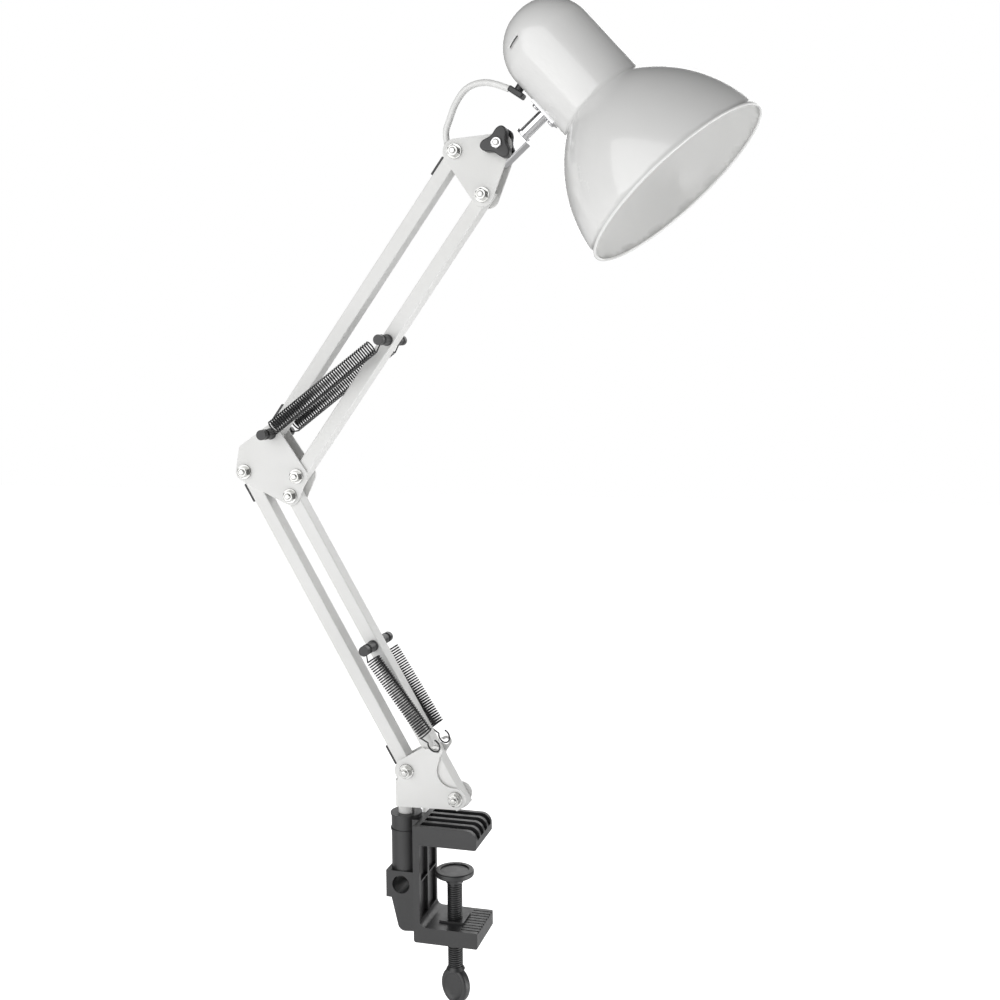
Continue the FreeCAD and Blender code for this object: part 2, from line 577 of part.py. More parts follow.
def cord_clips(name, start, end):
    """A snap-in clip near each end of a channel, over the lead."""
    reach = (end - start).Length
    for where, low in (("bottom", S.clip_inset), ("top", reach - S.clip_inset - S.clip_length)):
        title = "%s_clip_%s" % (name, where)
        cap = block(title + "_cap", ("clip_thick", "bar_depth", "clip_length"),
                    Vector(-S.bar_width / 2 - S.clip_thick, -S.bar_depth / 2, low))
        cap = rounded(title + "_bevel", cap, S.clip_round,
                      lambda e: abs(e.CenterOfMass.x + S.bar_width / 2 + S.clip_thick) < 0.01)
        legs = [block("%s_leg_%d" % (title, i), ("clip_thick + 3", "1", "clip_length - 4"),
                      Vector(-S.bar_width / 2 - S.clip_thick,
                             -S.bar_depth / 2 + S.bar_wall if i == 0 else S.bar_depth / 2 - S.bar_wall - 1,
                             low + 2)) for i in range(2)]
        clip = fuse(title + "_solid", [cap] + legs)
        clip.Placement = along(start, end)
        node(title, clip)


# ---------------------------------------------------------------- elbow, pegs and springs

def elbow_plates():
    outline = [(ELBOW_LEFT.x, ELBOW_LEFT.z, 7.8), (ELBOW_RIGHT.x, ELBOW_RIGHT.z, 7.8),
               (ELBOW_LINK.x, ELBOW_LINK.z, 9.2), (ELBOW_PEG.x, ELBOW_PEG.z, 7.4),
               (ELBOW_LEFT.x - 1, ELBOW_LEFT.z + 18, 4)]
    for side, back in (("front", -plate_in), ("rear", plate_out)):
        blank = plate("elbow_blank_" + side, belt(outline), "sheet", back)
        holes = [across("elbow_hole_%s_%d" % (side, i), bolt_bore, at)
                 for i, at in enumerate((ELBOW_LEFT, ELBOW_RIGHT, ELBOW_LINK, ELBOW_PEG))]
        node("elbow_plate_" + side, cut("elbow_solid_" + side, blank, holes))


def spring_peg(name, at, foot, foot_text):
    """A steel pin through the lamp with a grooved cap on each side that starts foot from its plane."""
    node(name + "_pin", cylinder(name + "_rod", "bolt_radius", "2 * peg_reach - 4",
                                 at + Y * (S.peg_reach - 2), FRONT))
    caps = []
    for i, way in enumerate((FRONT, Y)):
        stem = cylinder("%s_stem_%d" % (name, i), "peg_groove", "peg_reach - %s" % foot_text,
                        at + way * foot, way)
        collar = cylinder("%s_collar_%d" % (name, i), "peg_collar", "2", at + way * foot, way)
        sleeve = cylinder("%s_sleeve_%d" % (name, i), "peg_radius", "peg_hook - 1.5 - %s" % foot_text,
                          at + way * foot, way)
        end = cylinder("%s_end_%d" % (name, i), "peg_radius", "peg_reach - peg_hook - 1.5",
                       at + way * (S.peg_hook + 1.5), way)
        bore = cylinder("%s_bore_%d" % (name, i), "bolt_radius", "peg_reach - 2 - %s" % foot_text,
                        at + way * foot, way)
        caps.append(cut("%s_cap_%d" % (name, i), fuse("%s_cap_solid_%d" % (name, i),
                                                      [stem, collar, sleeve, end]), [bore]))
    node(name + "_caps", group(name + "_cap_set", caps))


def spring(name, start, end, side):
    """An extension spring from peg to peg or hook: its coils as a tube, its end hooks as rods."""
    a, b = start + Y * side, end
    way = b - a
    coil = way.Length - 2 * S.spring_lead
    unit = way.normalize()
    tube = cylinder(name + "_coils", "spring_radius", "1", a + unit * S.spring_lead, unit)
    hole = cylinder(name + "_hole", "spring_radius - spring_wire", "1", a + unit * S.spring_lead, unit)
    for piece in (tube, hole):
        piece.setExpression("Height", None)
        piece.Height = coil
    body = cut(name + "_tube", tube, [hole])
    hooks = []
    for i, (at, sign) in enumerate(((a, 1), (b, -1))):
        inset = at + unit * sign * (S.peg_groove + 2 * S.spring_wire)
        rod = cylinder("%s_hook_%d" % (name, i), "spring_wire / 2", "spring_lead - peg_groove - spring_wire",
                       inset, unit * sign)
        bar_across = cylinder("%s_bar_%d" % (name, i), "spring_wire / 2", "2 * spring_radius - spring_wire",
                              at + unit * sign * S.spring_lead + X.cross(unit).normalize()
                              * (S.spring_radius - S.spring_wire / 2), X.cross(unit) * -1)
        hooks += [rod, bar_across]
    node(name, fuse(name + "_solid", [body] + hooks))


# ---------------------------------------------------------------- head

def head_plates():
    outline = [(HEAD_RIGHT.x, HEAD_RIGHT.z, 9.0), (TILT.x, TILT.z, 9.0), (HEAD_LEFT.x, HEAD_LEFT.z, 9.7)]
    for side, back in (("front", -plate_in), ("rear", plate_out)):
        blank = plate("head_blank_" + side, belt(outline), "sheet", back)
        holes = [across("head_hole_%s_%d" % (side, i), bolt_bore, at)
                 for i, at in enumerate((HEAD_LEFT, HEAD_RIGHT, TILT))]
        node("head_plate_" + side, cut("head_solid_" + side, blank, holes))


def lobed(inset):
    """The knob's three-lobed outline, inset from its rim."""
    pulleys = []
    for i in range(3):
        for turn, far, r in ((0, S.knob_radius - S.lobe_radius, S.lobe_radius - inset),
                             (60, S.knob_waist + S.knob_hollow, -S.knob_hollow - inset)):
            angle = math.radians(S.knob_turn + 120 * i + turn)
            pulleys.append((far * math.cos(angle), far * math.sin(angle), r))
    return belt(pulleys)


def tilt_knob():
    stack = plate_out + S.washer_thick
    seat = S.knob_gap + stack
    disc = cylinder("knob_seat_disc", "washer_radius + 1", "washer_thick", TILT - Y * plate_out, FRONT)
    hole = cylinder("knob_seat_hole", bolt_bore, "washer_thick + 2", TILT - Y * (plate_out - 1), FRONT)
    seat_washer = cut("knob_washer_solid", disc, [hole])
    blank = plate("knob_blank", lobed(0), "knob_thick", 0)
    front = -S.knob_thick
    soft = rounded("knob_round", blank, S.knob_edge,
                   lambda e: abs(e.CenterOfMass.y - front) < 0.01 or abs(e.CenterOfMass.y) < 0.01)
    bore = cylinder("knob_bore", bolt_bore, "knob_thick + 2", Vector(0, 1, 0), FRONT)
    pocket = hexagon("knob_pocket", "nut_flats + 0.2", "nut_height + 1",
                     Vector(0, -S.knob_thick + S.nut_height, 0), FRONT)
    knob = cut("knob_solid", soft, [bore, pocket])
    knob.Placement.Base = TILT - Y * seat
    node("tilt_knob", knob)
    nut = hexagon("knob_hex", "nut_flats", "nut_height", TILT - Y * (seat + S.knob_thick - S.nut_height), FRONT)
    thread = cylinder("knob_thread", bolt_bore, "nut_height + 2",
                      TILT - Y * (seat + S.knob_thick - S.nut_height - 1), FRONT)
    node("knob_nut", cut("knob_nut_solid", nut, [thread]))
    shank = cylinder("tilt_shank", "bolt_radius",
                     "2 * %s + 2 * washer_thick + knob_gap + knob_thick + bolt_proud" % PLATE_OUT,
                     TILT + Y * stack, FRONT)
    head = hexagon("tilt_head", "nut_flats", "nut_height - 0.5", TILT + Y * stack, Y)
    node("tilt_bolt", fuse("tilt_bolt_solid", [shank, head]))
    disc = cylinder("tilt_rear_disc", "washer_radius", "washer_thick", TILT + Y * plate_out, Y)
    hole = cylinder("tilt_rear_hole", bolt_bore, "washer_thick + 2", TILT + Y * (plate_out - 1), Y)
    rear_washer = cut("tilt_washer_solid", disc, [hole])
    node("tilt_washers", group("tilt_washer_pair", [seat_washer, rear_washer]))


# The head's own frame: X along the stem, Z up the shade's axis, its origin on the tilt axis.
TILT_FRAME = Placement(TILT, Rotation(Y, -S.shade_lean))
STEM_FRAME = TILT_FRAME.multiply(Placement(point(0, -S.stem_offset), Rotation(X, S.shade_turn)))
# The shade's own frame: Z up its axis, its origin in the rim's plane.
SHADE_FRAME = STEM_FRAME.multiply(Placement(point(S.shade_reach, -S.stem_height), Rotation()))


def yoke():
    half = plate_in - S.yoke_gap
    outline = belt([(-S.yoke_tail, -S.yoke_back, 0), (S.yoke_nose, -S.yoke_back, 0),
                    (S.yoke_nose - 5, S.yoke_front - 5, 5), (-S.yoke_tail + 5, S.yoke_front - 5, 5)])
    blank = plate("yoke_blank", outline, "bar_depth + 2 * side_gap - 2 * yoke_gap", half)
    blank = rounded("yoke_bend", blank, S.yoke_sheet,
                    lambda e: abs(e.CenterOfMass.z + S.yoke_back) < 0.01 and e.Length > S.yoke_tail)
    channel = block("yoke_channel", ("yoke_tail + yoke_nose - yoke_sheet + 1",
                                     "bar_depth + 2 * side_gap - 2 * yoke_gap - 2 * yoke_sheet",
                                     "yoke_back + yoke_front"),
                    Vector(-S.yoke_tail - 1, -half + S.yoke_sheet, -S.yoke_back + S.yoke_sheet))
    tilt_hole = cylinder("yoke_tilt_hole", bolt_bore, "2 * %s + 4" % PLATE_OUT,
                         Vector(0, plate_out + 1, 0), FRONT)
    stem_hole = cylinder("yoke_stem_hole", "stem_radius + stem_play", "yoke_sheet + 2",
                         point(S.yoke_nose - S.yoke_sheet - 1, -S.stem_offset), X)
    solid = cut("yoke_solid", blank, [channel, tilt_hole, stem_hole])
    solid.Placement = TILT_FRAME
    node("yoke", solid)


def stem():
    inner = S.yoke_nose - S.yoke_sheet - S.stem_play
    flange = cylinder("stem_flange", "stem_radius + 0.8", "1.2", Vector(inner - 1.2, 0, 0), X)
    tube = cylinder("stem_wall", "stem_radius", "shade_reach - yoke_nose", Vector(inner - 1.2, 0, 0), X)
    collar = cylinder("stem_collar", "stem_radius + 1.3", "2.2", Vector(S.yoke_nose + S.stem_play, 0, 0), X)
    bore = cylinder("stem_hollow", "stem_bore", "shade_reach", Vector(inner - 3, 0, 0), X)
    neck = cylinder("stem_neck_cut", "neck_radius + saddle_sheet", "60", point(S.shade_reach, -30))
    solid = cut("stem_solid", fuse("stem_turned", [flange, tube, collar]), [bore, neck])
    solid.Placement = STEM_FRAME
    node("stem_tube", solid)


# ---------------------------------------------------------------- shade

def shade_profile(inset):
    """Centre-line points of the wall, moved inwards by inset: bell, hollow round, neck and dome."""
    rim, neck, high = S.rim_radius, S.neck_radius, S.bell_height
    chord = math.hypot(rim - neck, high)
    bell = (chord ** 2 / 4 + S.bell_swell ** 2) / (2 * S.bell_swell)
    mid_x, mid_y = (rim + neck) / 2, high / 2
    drop = bell - S.bell_swell
    cx, cy = mid_x - drop * high / chord, mid_y - drop * (rim - neck) / chord
    fx = neck + S.neck_fillet
    fy = cy + math.sqrt((bell + S.neck_fillet) ** 2 - (fx - cx) ** 2)
    return bell - inset, cx, cy, S.neck_fillet + inset, fx, fy, neck - inset


def shade_shell():
    wall = S.shade_wall
    edges = []
    corners = []
    for inset in (0, wall):
        bell, cx, cy, fillet, fx, fy, neck = shade_profile(inset)
        foot = Vector(cx + math.sqrt(bell ** 2 - cy ** 2), 0, 0)
        join = math.atan2(fy - cy, fx - cx)
        start = math.atan2(-cy, foot.x - cx)
        edges.append(Part.ArcOfCircle(Part.Circle(Vector(cx, cy, 0), Z, bell), start, join))
        edges.append(Part.ArcOfCircle(Part.Circle(Vector(fx, fy, 0), Z, fillet), math.pi, math.pi + join))
        edges.append(Part.LineSegment(Vector(neck, fy, 0), Vector(neck, S.neck_end, 0)))
        edges.append(Part.ArcOfCircle(Part.Circle(Vector(0, S.neck_end, 0), Z, neck), 0, math.pi / 2))
        corners.append((foot, Vector(0, S.neck_end + neck, 0)))
    edges += [Part.LineSegment(corners[0][0], corners[1][0]), Part.LineSegment(corners[0][1], corners[1][1])]
    shell = turned("shade_spun", edges)
    bead = doc.addObject("Part::Torus", "shade_bead")
    bind(bead, Radius1="rim_radius - rim_bead / 2", Radius2="rim_bead")
    solid = fuse("shade_beaded", [shell, bead])
    gland = cylinder("gland_hole", "gland_neck + 0.5", "8", point(-S.neck_radius - 4, S.gland_height), X)
    screws = [cylinder("saddle_hole_%d" % i, "screw_shank", "8",
                       point(-S.neck_radius - 4, S.stem_height + way * S.saddle_pitch / 2), X)
              for i, way in enumerate((-1, 1))]
    vents = []
    for i in range(3):
        slot = block("vent_%d" % i, ("10", "vent_length", "vent_width"),
                     point(S.neck_radius - 8, 0, -S.vent_length / 2))
        turn = Rotation(Z, i * 120).multiply(Rotation(Y, -18))
        slot.Placement = Placement(point(0, S.neck_end), turn).multiply(slot.Placement)
        vents.append(slot)
    solid = cut("shade_solid", solid, [gland] + screws + vents)
    solid.Placement = SHADE_FRAME
    node("shade", solid)


def saddle():
    outer = cylinder("saddle_outer", "neck_radius + saddle_sheet", "saddle_length",
                     point(0, S.stem_height - S.saddle_length / 2))
    inner = cylinder("saddle_inner", "neck_radius", "saddle_length + 2",
                     point(0, S.stem_height - S.saddle_length / 2 - 1))
    window = block("saddle_window", ("20", "saddle_width", "saddle_length"),
                   Vector(-S.neck_radius - 10, -S.saddle_width / 2, S.stem_height - S.saddle_length / 2))
    common = doc.addObject("Part::Common", "saddle_blank")
    common.Base = cut("saddle_ring", outer, [inner])
    common.Tool = window
    holes = [cylinder("saddle_eye_%d" % i, "screw_shank", "12",
                      point(-S.neck_radius - 6, S.stem_height + way * S.saddle_pitch / 2), X)
             for i, way in enumerate((-1, 1))]
    solid = cut("saddle_solid", common, holes)
    solid.Placement = SHADE_FRAME
    node("saddle_plate", solid)
    screws = []
    for i, way in enumerate((-1, 1)):
        at = point(-S.neck_radius - S.saddle_sheet, S.stem_height + way * S.saddle_pitch / 2)
        shank = cylinder("saddle_shank_%d" % i, "screw_shank", "5", at, X)
        head = cylinder("saddle_head_%d" % i, "screw_shank * 1.9", "1.5", at, X * -1)
        head = rounded("saddle_head_round_%d" % i, head, 0.9,
                       lambda e: abs(e.CenterOfMass.x - at.x + 1.5) < 0.01 and e.Length > 4)
        screws.append(fuse("saddle_screw_%d" % i, [shank, head]))
    pair = group("saddle_screw_pair", screws)
    pair.Placement = SHADE_FRAME
    node("saddle_screws", pair)


def lamp_holder():
    top = S.holder_mouth + S.holder_length
    body = cylinder("holder_body", "holder_radius", "holder_length", point(0, S.holder_mouth))
    cap = cone("holder_cap", "holder_radius", "holder_radius - 8", "8", point(0, top))
    bore = cylinder("holder_thread", "holder_bore", "holder_depth", point(0, S.holder_mouth - 1))
    solid = cut("holder_solid", fuse("holder_blank", [body, cap]), [bore])
    solid.Placement = SHADE_FRAME
    node("lamp_holder", solid)
    strap = block("strap_blank", ("2 * neck_radius - 2 * shade_wall - 0.2", "strap_width", "strap_sheet"),
                  Vector(-S.neck_radius + S.shade_wall + 0.1, -S.strap_width / 2, S.strap_height))
    ring = cylinder("strap_round", "neck_radius - shade_wall - 0.1", "strap_sheet", point(0, S.strap_height))
    common = doc.addObject("Part::Common", "strap_common")
    common.Base = strap
    common.Tool = ring
    band = cylinder("strap_band", "holder_radius + strap_margin", "strap_sheet", point(0, S.strap_height))
    eye = cylinder("strap_eye", "holder_radius", "strap_sheet + 2", point(0, S.strap_height - 1))
    solid = cut("strap_solid", fuse("strap_whole", [common, band]), [eye])
    solid.Placement = SHADE_FRAME
    node("holder_strap", solid)


def cord_gland():
    at = point(-S.neck_radius, S.gland_height)
    way = Rotation(Y, S.gland_tilt).multVec(X * -1)
    neck = cylinder("gland_stub", "gland_neck", "5.5", at - way * 2.5, way)
    cap = doc.addObject("Part::Box", "gland_cap")
    bind(cap, Length="gland_long", Width="gland_wide", Height="gland_thick")
    cap.Placement = Placement(at + way * 3, Rotation(Y, S.gland_tilt - 90)).multiply(
        Placement(Vector(-S.gland_long / 2, -S.gland_wide / 2, 0), Rotation()))
    cap = rounded("gland_cap_round", cap, 1.3, lambda e: True)
    solid = fuse("gland_solid", [neck, cap])
    solid.Placement = SHADE_FRAME
    node("cord_gland", solid)


# ---------------------------------------------------------------- lead

def lead(name, points, radius):
    """A round lead along straight runs joined by tangent arcs, each as large as its runs allow."""
    edges, length, at, radii = [], 0.0, points[0], []
    for before, corner, after in zip(points, points[1:], points[2:]):
        come, go = corner - before, after - corner
        turn = come.getAngle(go)
        arc = S.arc_share * min(come.Length, go.Length) / math.tan(turn / 2)
        reach = S.arc_share * min(come.Length, go.Length)
        come.normalize()
        go.normalize()
        start, end = corner - come * reach, corner + go * reach
        bend = (go - come).normalize()
        middle = corner + bend * (arc / math.cos(turn / 2) - arc)
        edges += [Part.LineSegment(at, start).toShape(), Part.Arc(start, middle, end).toShape()]
        length += (start - at).Length + arc * turn
        radii.append(round(arc, 1))
        at = end
    edges.append(Part.LineSegment(at, points[-1]).toShape())
    length += (points[-1] - at).Length
    first = (points[1] - points[0]).normalize()
    ring = Part.Wire([Part.Circle(points[0], first, radius).toShape()])
    shape = Part.Wire(edges).makePipeShell([ring], True, False)
    ratio = shape.Volume / (math.pi * radius ** 2 * length)
    print("%-12s length %6.1f  radii %s  volume ratio %.4f" % (name, length, radii, ratio))
    obj = doc.addObject("Part::Feature", name + "_run")
    obj.Shape = shape
    return node(name, obj)


def held_lead(name, start, end, way_out):
    """The lead in a channel: in past the lower pivot, under both clips and out by the given stops."""
    frame, reach = along(start, end), (end - start).Length
    stops = [(S.lead_out, -S.lead_past), (S.lead_out, 0), (S.channel_side, S.channel_inset)]
    stops += [(side, reach + up) for side, up in way_out]
    route = [frame.multVec(Vector(-side, 0, up)) for side, up in stops]
    lead(name, route, S.cord_radius)
    return route[0], route[-1]


def leads():
    lower_in, lower_out = held_lead("lead_lower", BASE_LEFT, ELBOW_LEFT, [
        (S.channel_side, -S.channel_inset), (S.lead_out, 0), (S.lead_out, S.lead_past)])
    upper_in, upper_out = held_lead("lead_upper", ELBOW_PEG, HEAD_LEFT, [
        (S.channel_side, -S.lead_leave), (S.lead_rise, S.lead_past)])
    for name, ends in (("lead_shade", SHADE_ROUTE), ("lead_head", HEAD_ROUTE + [upper_out]),
                       ("lead_elbow", [upper_in] + ELBOW_ROUTE + [lower_out]),
                       ("lead_foot", [lower_in] + FOOT_ROUTE), ("lead_drop", DROP_ROUTE),
                       ("lead_tail", TAIL_ROUTE)):
        lead(name, [Vector(*p) for p in ends], S.cord_radius)


# Hand-chosen routes of the lead's free stretches, in millimetres.
SHADE_ROUTE = [(50.6, 1.7, 587.4), (40.5, 1.2, 591.8), (29.5, 0.6, 594), (20, 0.31, 591.37)]
HEAD_ROUTE = [(19.9, 0.307, 591.342), (16.5, 0.2, 590.4), (7.6, 0, 578.4), (3.2, 0, 566.8), (-1.05, 0, 556.04)]
ELBOW_ROUTE = [(-158.55, 0, 319.5), (-165.5, 0, 314.5), (-173.5, 0, 309.7), (-180.2, 0, 303.2),
               (-182.62, 0, 293.02)]
FOOT_ROUTE = [(-38.15, 0, 43.7), (-34.6, 1.2, 38.6), (-30, 4.8, 36), (-30, 10.4, 36)]
DROP_ROUTE = [(-30, 10.45, 36), (-30, 20, 36), (-31.6, 30, 33.2), (-34.8, 38.6, 26.6), (-38, 44, 17.6),
              (-39.8, 46.4, 9), (-40, 46.6, 2.3)]
TAIL_ROUTE = [(-52, 26.5, 2.3), (-52, 26.5, 11), (-52, 32.2, 18.9), (-52, 41.5, 22), (-52, 50.8, 18.9),
              (-52, 56.6, 11), (-52, 56.6, 2.3)]


def hank_and_plug():
    hank = block("hank_blank", ("hank_wide", "hank_deep", "hank_long"),
                 Vector(S.hank_x - S.hank_wide / 2, S.hank_y - S.hank_deep / 2, S.hank_top - S.hank_long))
    node("lead_hank", rounded("hank_solid", hank, 4.0, lambda e: True))
    x, y, top = TAIL_ROUTE[-1]
    relief = cone("plug_relief_cone", "plug_deep / 2 - 1.5", "cord_radius + 0.8", "relief_long",
                  Vector(x, y, top - S.relief_long))
    body = block("plug_blank", ("plug_wide", "plug_deep", "plug_long"),
                 Vector(x - S.plug_wide / 2, y - S.plug_deep / 2, top - S.relief_long - S.plug_long + 1))
    body = rounded("plug_round", body, 4.0, lambda e: True)
    pins = [cylinder("pin_%d" % i, "2", "pin_long + 3",
                     Vector(x + way * S.pin_pitch / 2, y, top - S.relief_long - S.plug_long + 4), Z * -1)
            for i, way in enumerate((-1, 1))]
    node("plug_body", cut("plug_solid", fuse("plug_blank_solid", [relief, body]), pins))
    node("plug_pins", group("plug_pin_pair", pins))


# ---------------------------------------------------------------- assembly

clamp_body()
clamp_screw()
clamp_pad()
base_bracket()
fasteners("base", [BASE_LEFT, BASE_RIGHT])
BARS = (("lower_bar_left", BASE_LEFT, ELBOW_LEFT, "lower", "bar_end", True),
        ("lower_bar_right", BASE_RIGHT, ELBOW_RIGHT, "lower", "bar_foot", False),
        ("upper_bar_left", ELBOW_PEG, HEAD_LEFT, "upper", "bar_end", True),
        ("upper_bar_right", ELBOW_LINK, HEAD_RIGHT, "upper", "bar_end", False))
for title, low, high, length, low_end, open_left in BARS:
    bar(title, low, high, length, low_end, open_left, not open_left)
    if open_left:
        cord_clips(title.replace("_bar_left", ""), low, high)
elbow_plates()
fasteners("elbow", [ELBOW_LEFT, ELBOW_RIGHT, ELBOW_LINK])
bar_side = S.bar_depth / 2 + S.peg_gap
spring_peg("elbow_peg", ELBOW_PEG, plate_out, "bar_depth / 2 - side_gap - sheet")
spring_peg("lower_peg", LOWER_PEG, bar_side, "bar_depth / 2 - peg_gap")
spring_peg("upper_peg", UPPER_PEG, bar_side, "bar_depth / 2 - peg_gap")
HOOK = BASE_LEFT + Rotation(Y, S.crease_tilt).multVec(
    Vector(S.hook_side, 0, S.hook_rise * math.cos(math.radians(S.hook_splay)))) + point(
    S.crease_run, S.crease_rise)
hook_y = plate_out + S.hook_rise * math.sin(math.radians(S.hook_splay))
for title, way in (("front", -1), ("rear", 1)):
    spring("upper_spring_" + title, ELBOW_PEG, UPPER_PEG + Y * way * S.peg_hook, way * S.peg_hook)
    spring("lower_spring_" + title, LOWER_PEG, HOOK + Y * way * hook_y, way * S.peg_hook)
head_plates()
fasteners("head", [HEAD_LEFT, HEAD_RIGHT])
tilt_knob()
yoke()
stem()
shade_shell()
saddle()
lamp_holder()
cord_gland()
leads()
hank_and_plug()

doc.recompute()
broken = [o.Label for o in doc.Objects if set(o.State) & {"Invalid", "Error"}]
assert not broken, "failed objects: %s" % broken
for title, obj in NODES.items():
    assert not obj.Shape.isNull() and obj.Shape.isValid() and obj.Shape.Volume > 0, "bad shape: " + title

os.makedirs("parts", exist_ok=True)
for title, obj in NODES.items():
    obj.Shape.exportStep("parts/%s.step" % title)
print("%d sub-parts" % len(NODES))
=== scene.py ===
import json
import math

import bmesh
import bpy
from mathutils import Matrix, Vector


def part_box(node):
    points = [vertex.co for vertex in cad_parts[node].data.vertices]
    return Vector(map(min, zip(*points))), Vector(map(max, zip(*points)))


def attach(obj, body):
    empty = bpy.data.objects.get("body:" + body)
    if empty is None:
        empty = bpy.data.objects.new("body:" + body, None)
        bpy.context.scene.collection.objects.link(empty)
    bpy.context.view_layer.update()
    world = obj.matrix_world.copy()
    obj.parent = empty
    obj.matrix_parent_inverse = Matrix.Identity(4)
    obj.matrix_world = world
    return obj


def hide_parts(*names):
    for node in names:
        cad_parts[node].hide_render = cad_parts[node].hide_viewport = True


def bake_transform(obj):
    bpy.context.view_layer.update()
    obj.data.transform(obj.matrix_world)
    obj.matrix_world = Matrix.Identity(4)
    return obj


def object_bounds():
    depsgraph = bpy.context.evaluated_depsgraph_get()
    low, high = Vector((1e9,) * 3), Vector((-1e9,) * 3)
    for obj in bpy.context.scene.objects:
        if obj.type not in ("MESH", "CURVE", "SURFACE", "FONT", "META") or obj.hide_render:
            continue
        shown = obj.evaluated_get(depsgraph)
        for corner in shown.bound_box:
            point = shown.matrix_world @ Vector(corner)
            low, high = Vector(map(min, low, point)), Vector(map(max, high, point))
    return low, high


# Swing arm desk lamp. Lengths are in millimetres and go into the scene through MM.
MM = 0.001
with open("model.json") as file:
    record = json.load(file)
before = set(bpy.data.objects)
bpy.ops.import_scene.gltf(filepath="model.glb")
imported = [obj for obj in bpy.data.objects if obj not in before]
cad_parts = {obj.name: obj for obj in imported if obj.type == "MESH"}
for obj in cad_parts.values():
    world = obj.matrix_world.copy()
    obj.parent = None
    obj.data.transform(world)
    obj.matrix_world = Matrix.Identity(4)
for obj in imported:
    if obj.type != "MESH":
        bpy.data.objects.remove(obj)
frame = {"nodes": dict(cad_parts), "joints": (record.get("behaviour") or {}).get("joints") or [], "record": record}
nodes = frame["nodes"]
cad_low, cad_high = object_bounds()
UP = Vector((0, 0, 1))
ACROSS = Vector((0, 1, 0))
FRONT = Vector((0, -1, 0))


def mm(x, y, z):
    return Vector((x, y, z)) * MM


# ---------------------------------------------------------------- camera

CAMERA_PLACE = mm(301.06, -936.81, 380.58)
CAMERA_YAW = math.radians(15.904)
CAMERA_PITCH = math.radians(2.110)
CAMERA_ROLL = math.radians(-0.592)
CAMERA_LENS = 45.13
CAMERA_SHIFT = (0.0090, -0.0954)


def make_camera():
    data = bpy.data.cameras.new("camera")
    data.lens = CAMERA_LENS
    data.sensor_width = 36.0
    data.shift_x, data.shift_y = CAMERA_SHIFT
    data.clip_start, data.clip_end = 0.01, 50.0
    turn = (Matrix.Rotation(CAMERA_YAW, 4, "Z") @ Matrix.Rotation(math.pi / 2 - CAMERA_PITCH, 4, "X")
            @ Matrix.Rotation(CAMERA_ROLL, 4, "Z"))
    camera = bpy.data.objects.new("camera", data)
    camera.matrix_world = Matrix.Translation(CAMERA_PLACE) @ turn
    bpy.context.scene.collection.objects.link(camera)
    bpy.context.scene.camera = camera


make_camera()


# ---------------------------------------------------------------- shared node groups

def new_group(name, inputs, outputs):
    """A shader node group with its sockets; inputs are (name, kind, default)."""
    tree = bpy.data.node_groups.new(name, "ShaderNodeTree")
    for title, kind, default in inputs:
        socket = tree.interface.new_socket(title, in_out="INPUT", socket_type="NodeSocket" + kind)
        if default is not None:
            socket.default_value = default
    for title, kind in outputs:
        tree.interface.new_socket(title, in_out="OUTPUT", socket_type="NodeSocket" + kind)
    return tree, tree.nodes.new("NodeGroupInput"), tree.nodes.new("NodeGroupOutput")


def noise_in(tree, entry, detail, roughness=0.55):
    noise = tree.nodes.new("ShaderNodeTexNoise")
    noise.inputs["Detail"].default_value = detail
    noise.inputs["Roughness"].default_value = roughness
    tree.links.new(entry.outputs["Vector"], noise.inputs["Vector"])
    tree.links.new(entry.outputs["Scale"], noise.inputs["Scale"])
    return noise


def make_mottle():
    """Two close colours in soft patches."""
    tree, entry, out = new_group("mottle", [("Vector", "Vector", None), ("Scale", "Float", 20.0),
                                            ("Deep", "Color", None), ("Pale", "Color", None)],
                                 [("Color", "Color")])
    noise = noise_in(tree, entry, 4.0)
    ramp = tree.nodes.new("ShaderNodeMapRange")
    ramp.inputs["From Min"].default_value = 0.32
    ramp.inputs["From Max"].default_value = 0.68
    mix = tree.nodes.new("ShaderNodeMix")
    mix.data_type = "RGBA"
    tree.links.new(noise.outputs["Fac"], ramp.inputs["Value"])
    tree.links.new(ramp.outputs["Result"], mix.inputs["Factor"])
    tree.links.new(entry.outputs["Deep"], mix.inputs["A"])
    tree.links.new(entry.outputs["Pale"], mix.inputs["B"])
    tree.links.new(mix.outputs["Result"], out.inputs["Color"])
    return tree


def make_handling():
    """Roughness that wanders where hands and cloths have been."""
    tree, entry, out = new_group("handling", [("Vector", "Vector", None), ("Scale", "Float", 60.0),
                                              ("Low", "Float", 0.3), ("High", "Float", 0.4)],
                                 [("Value", "Float")])
    noise = noise_in(tree, entry, 6.0, 0.65)
    ramp = tree.nodes.new("ShaderNodeMapRange")
    ramp.inputs["From Min"].default_value = 0.3
    ramp.inputs["From Max"].default_value = 0.7
    tree.links.new(noise.outputs["Fac"], ramp.inputs["Value"])
    tree.links.new(entry.outputs["Low"], ramp.inputs["To Min"])
    tree.links.new(entry.outputs["High"], ramp.inputs["To Max"])
    tree.links.new(ramp.outputs["Result"], out.inputs["Value"])
    return tree


def make_skin():
    """A fine bumpy skin: orange peel on paint, moulded grain on plastic."""
    tree, entry, out = new_group("skin", [("Vector", "Vector", None), ("Scale", "Float", 900.0),
                                          ("Depth", "Float", 0.00002)], [("Normal", "Vector")])
    noise = noise_in(tree, entry, 2.0)
    bump = tree.nodes.new("ShaderNodeBump")
    bump.inputs["Strength"].default_value = 1.0
    tree.links.new(noise.outputs["Fac"], bump.inputs["Height"])
    tree.links.new(entry.outputs["Depth"], bump.inputs["Distance"])
    tree.links.new(bump.outputs["Normal"], out.inputs["Normal"])
    return tree


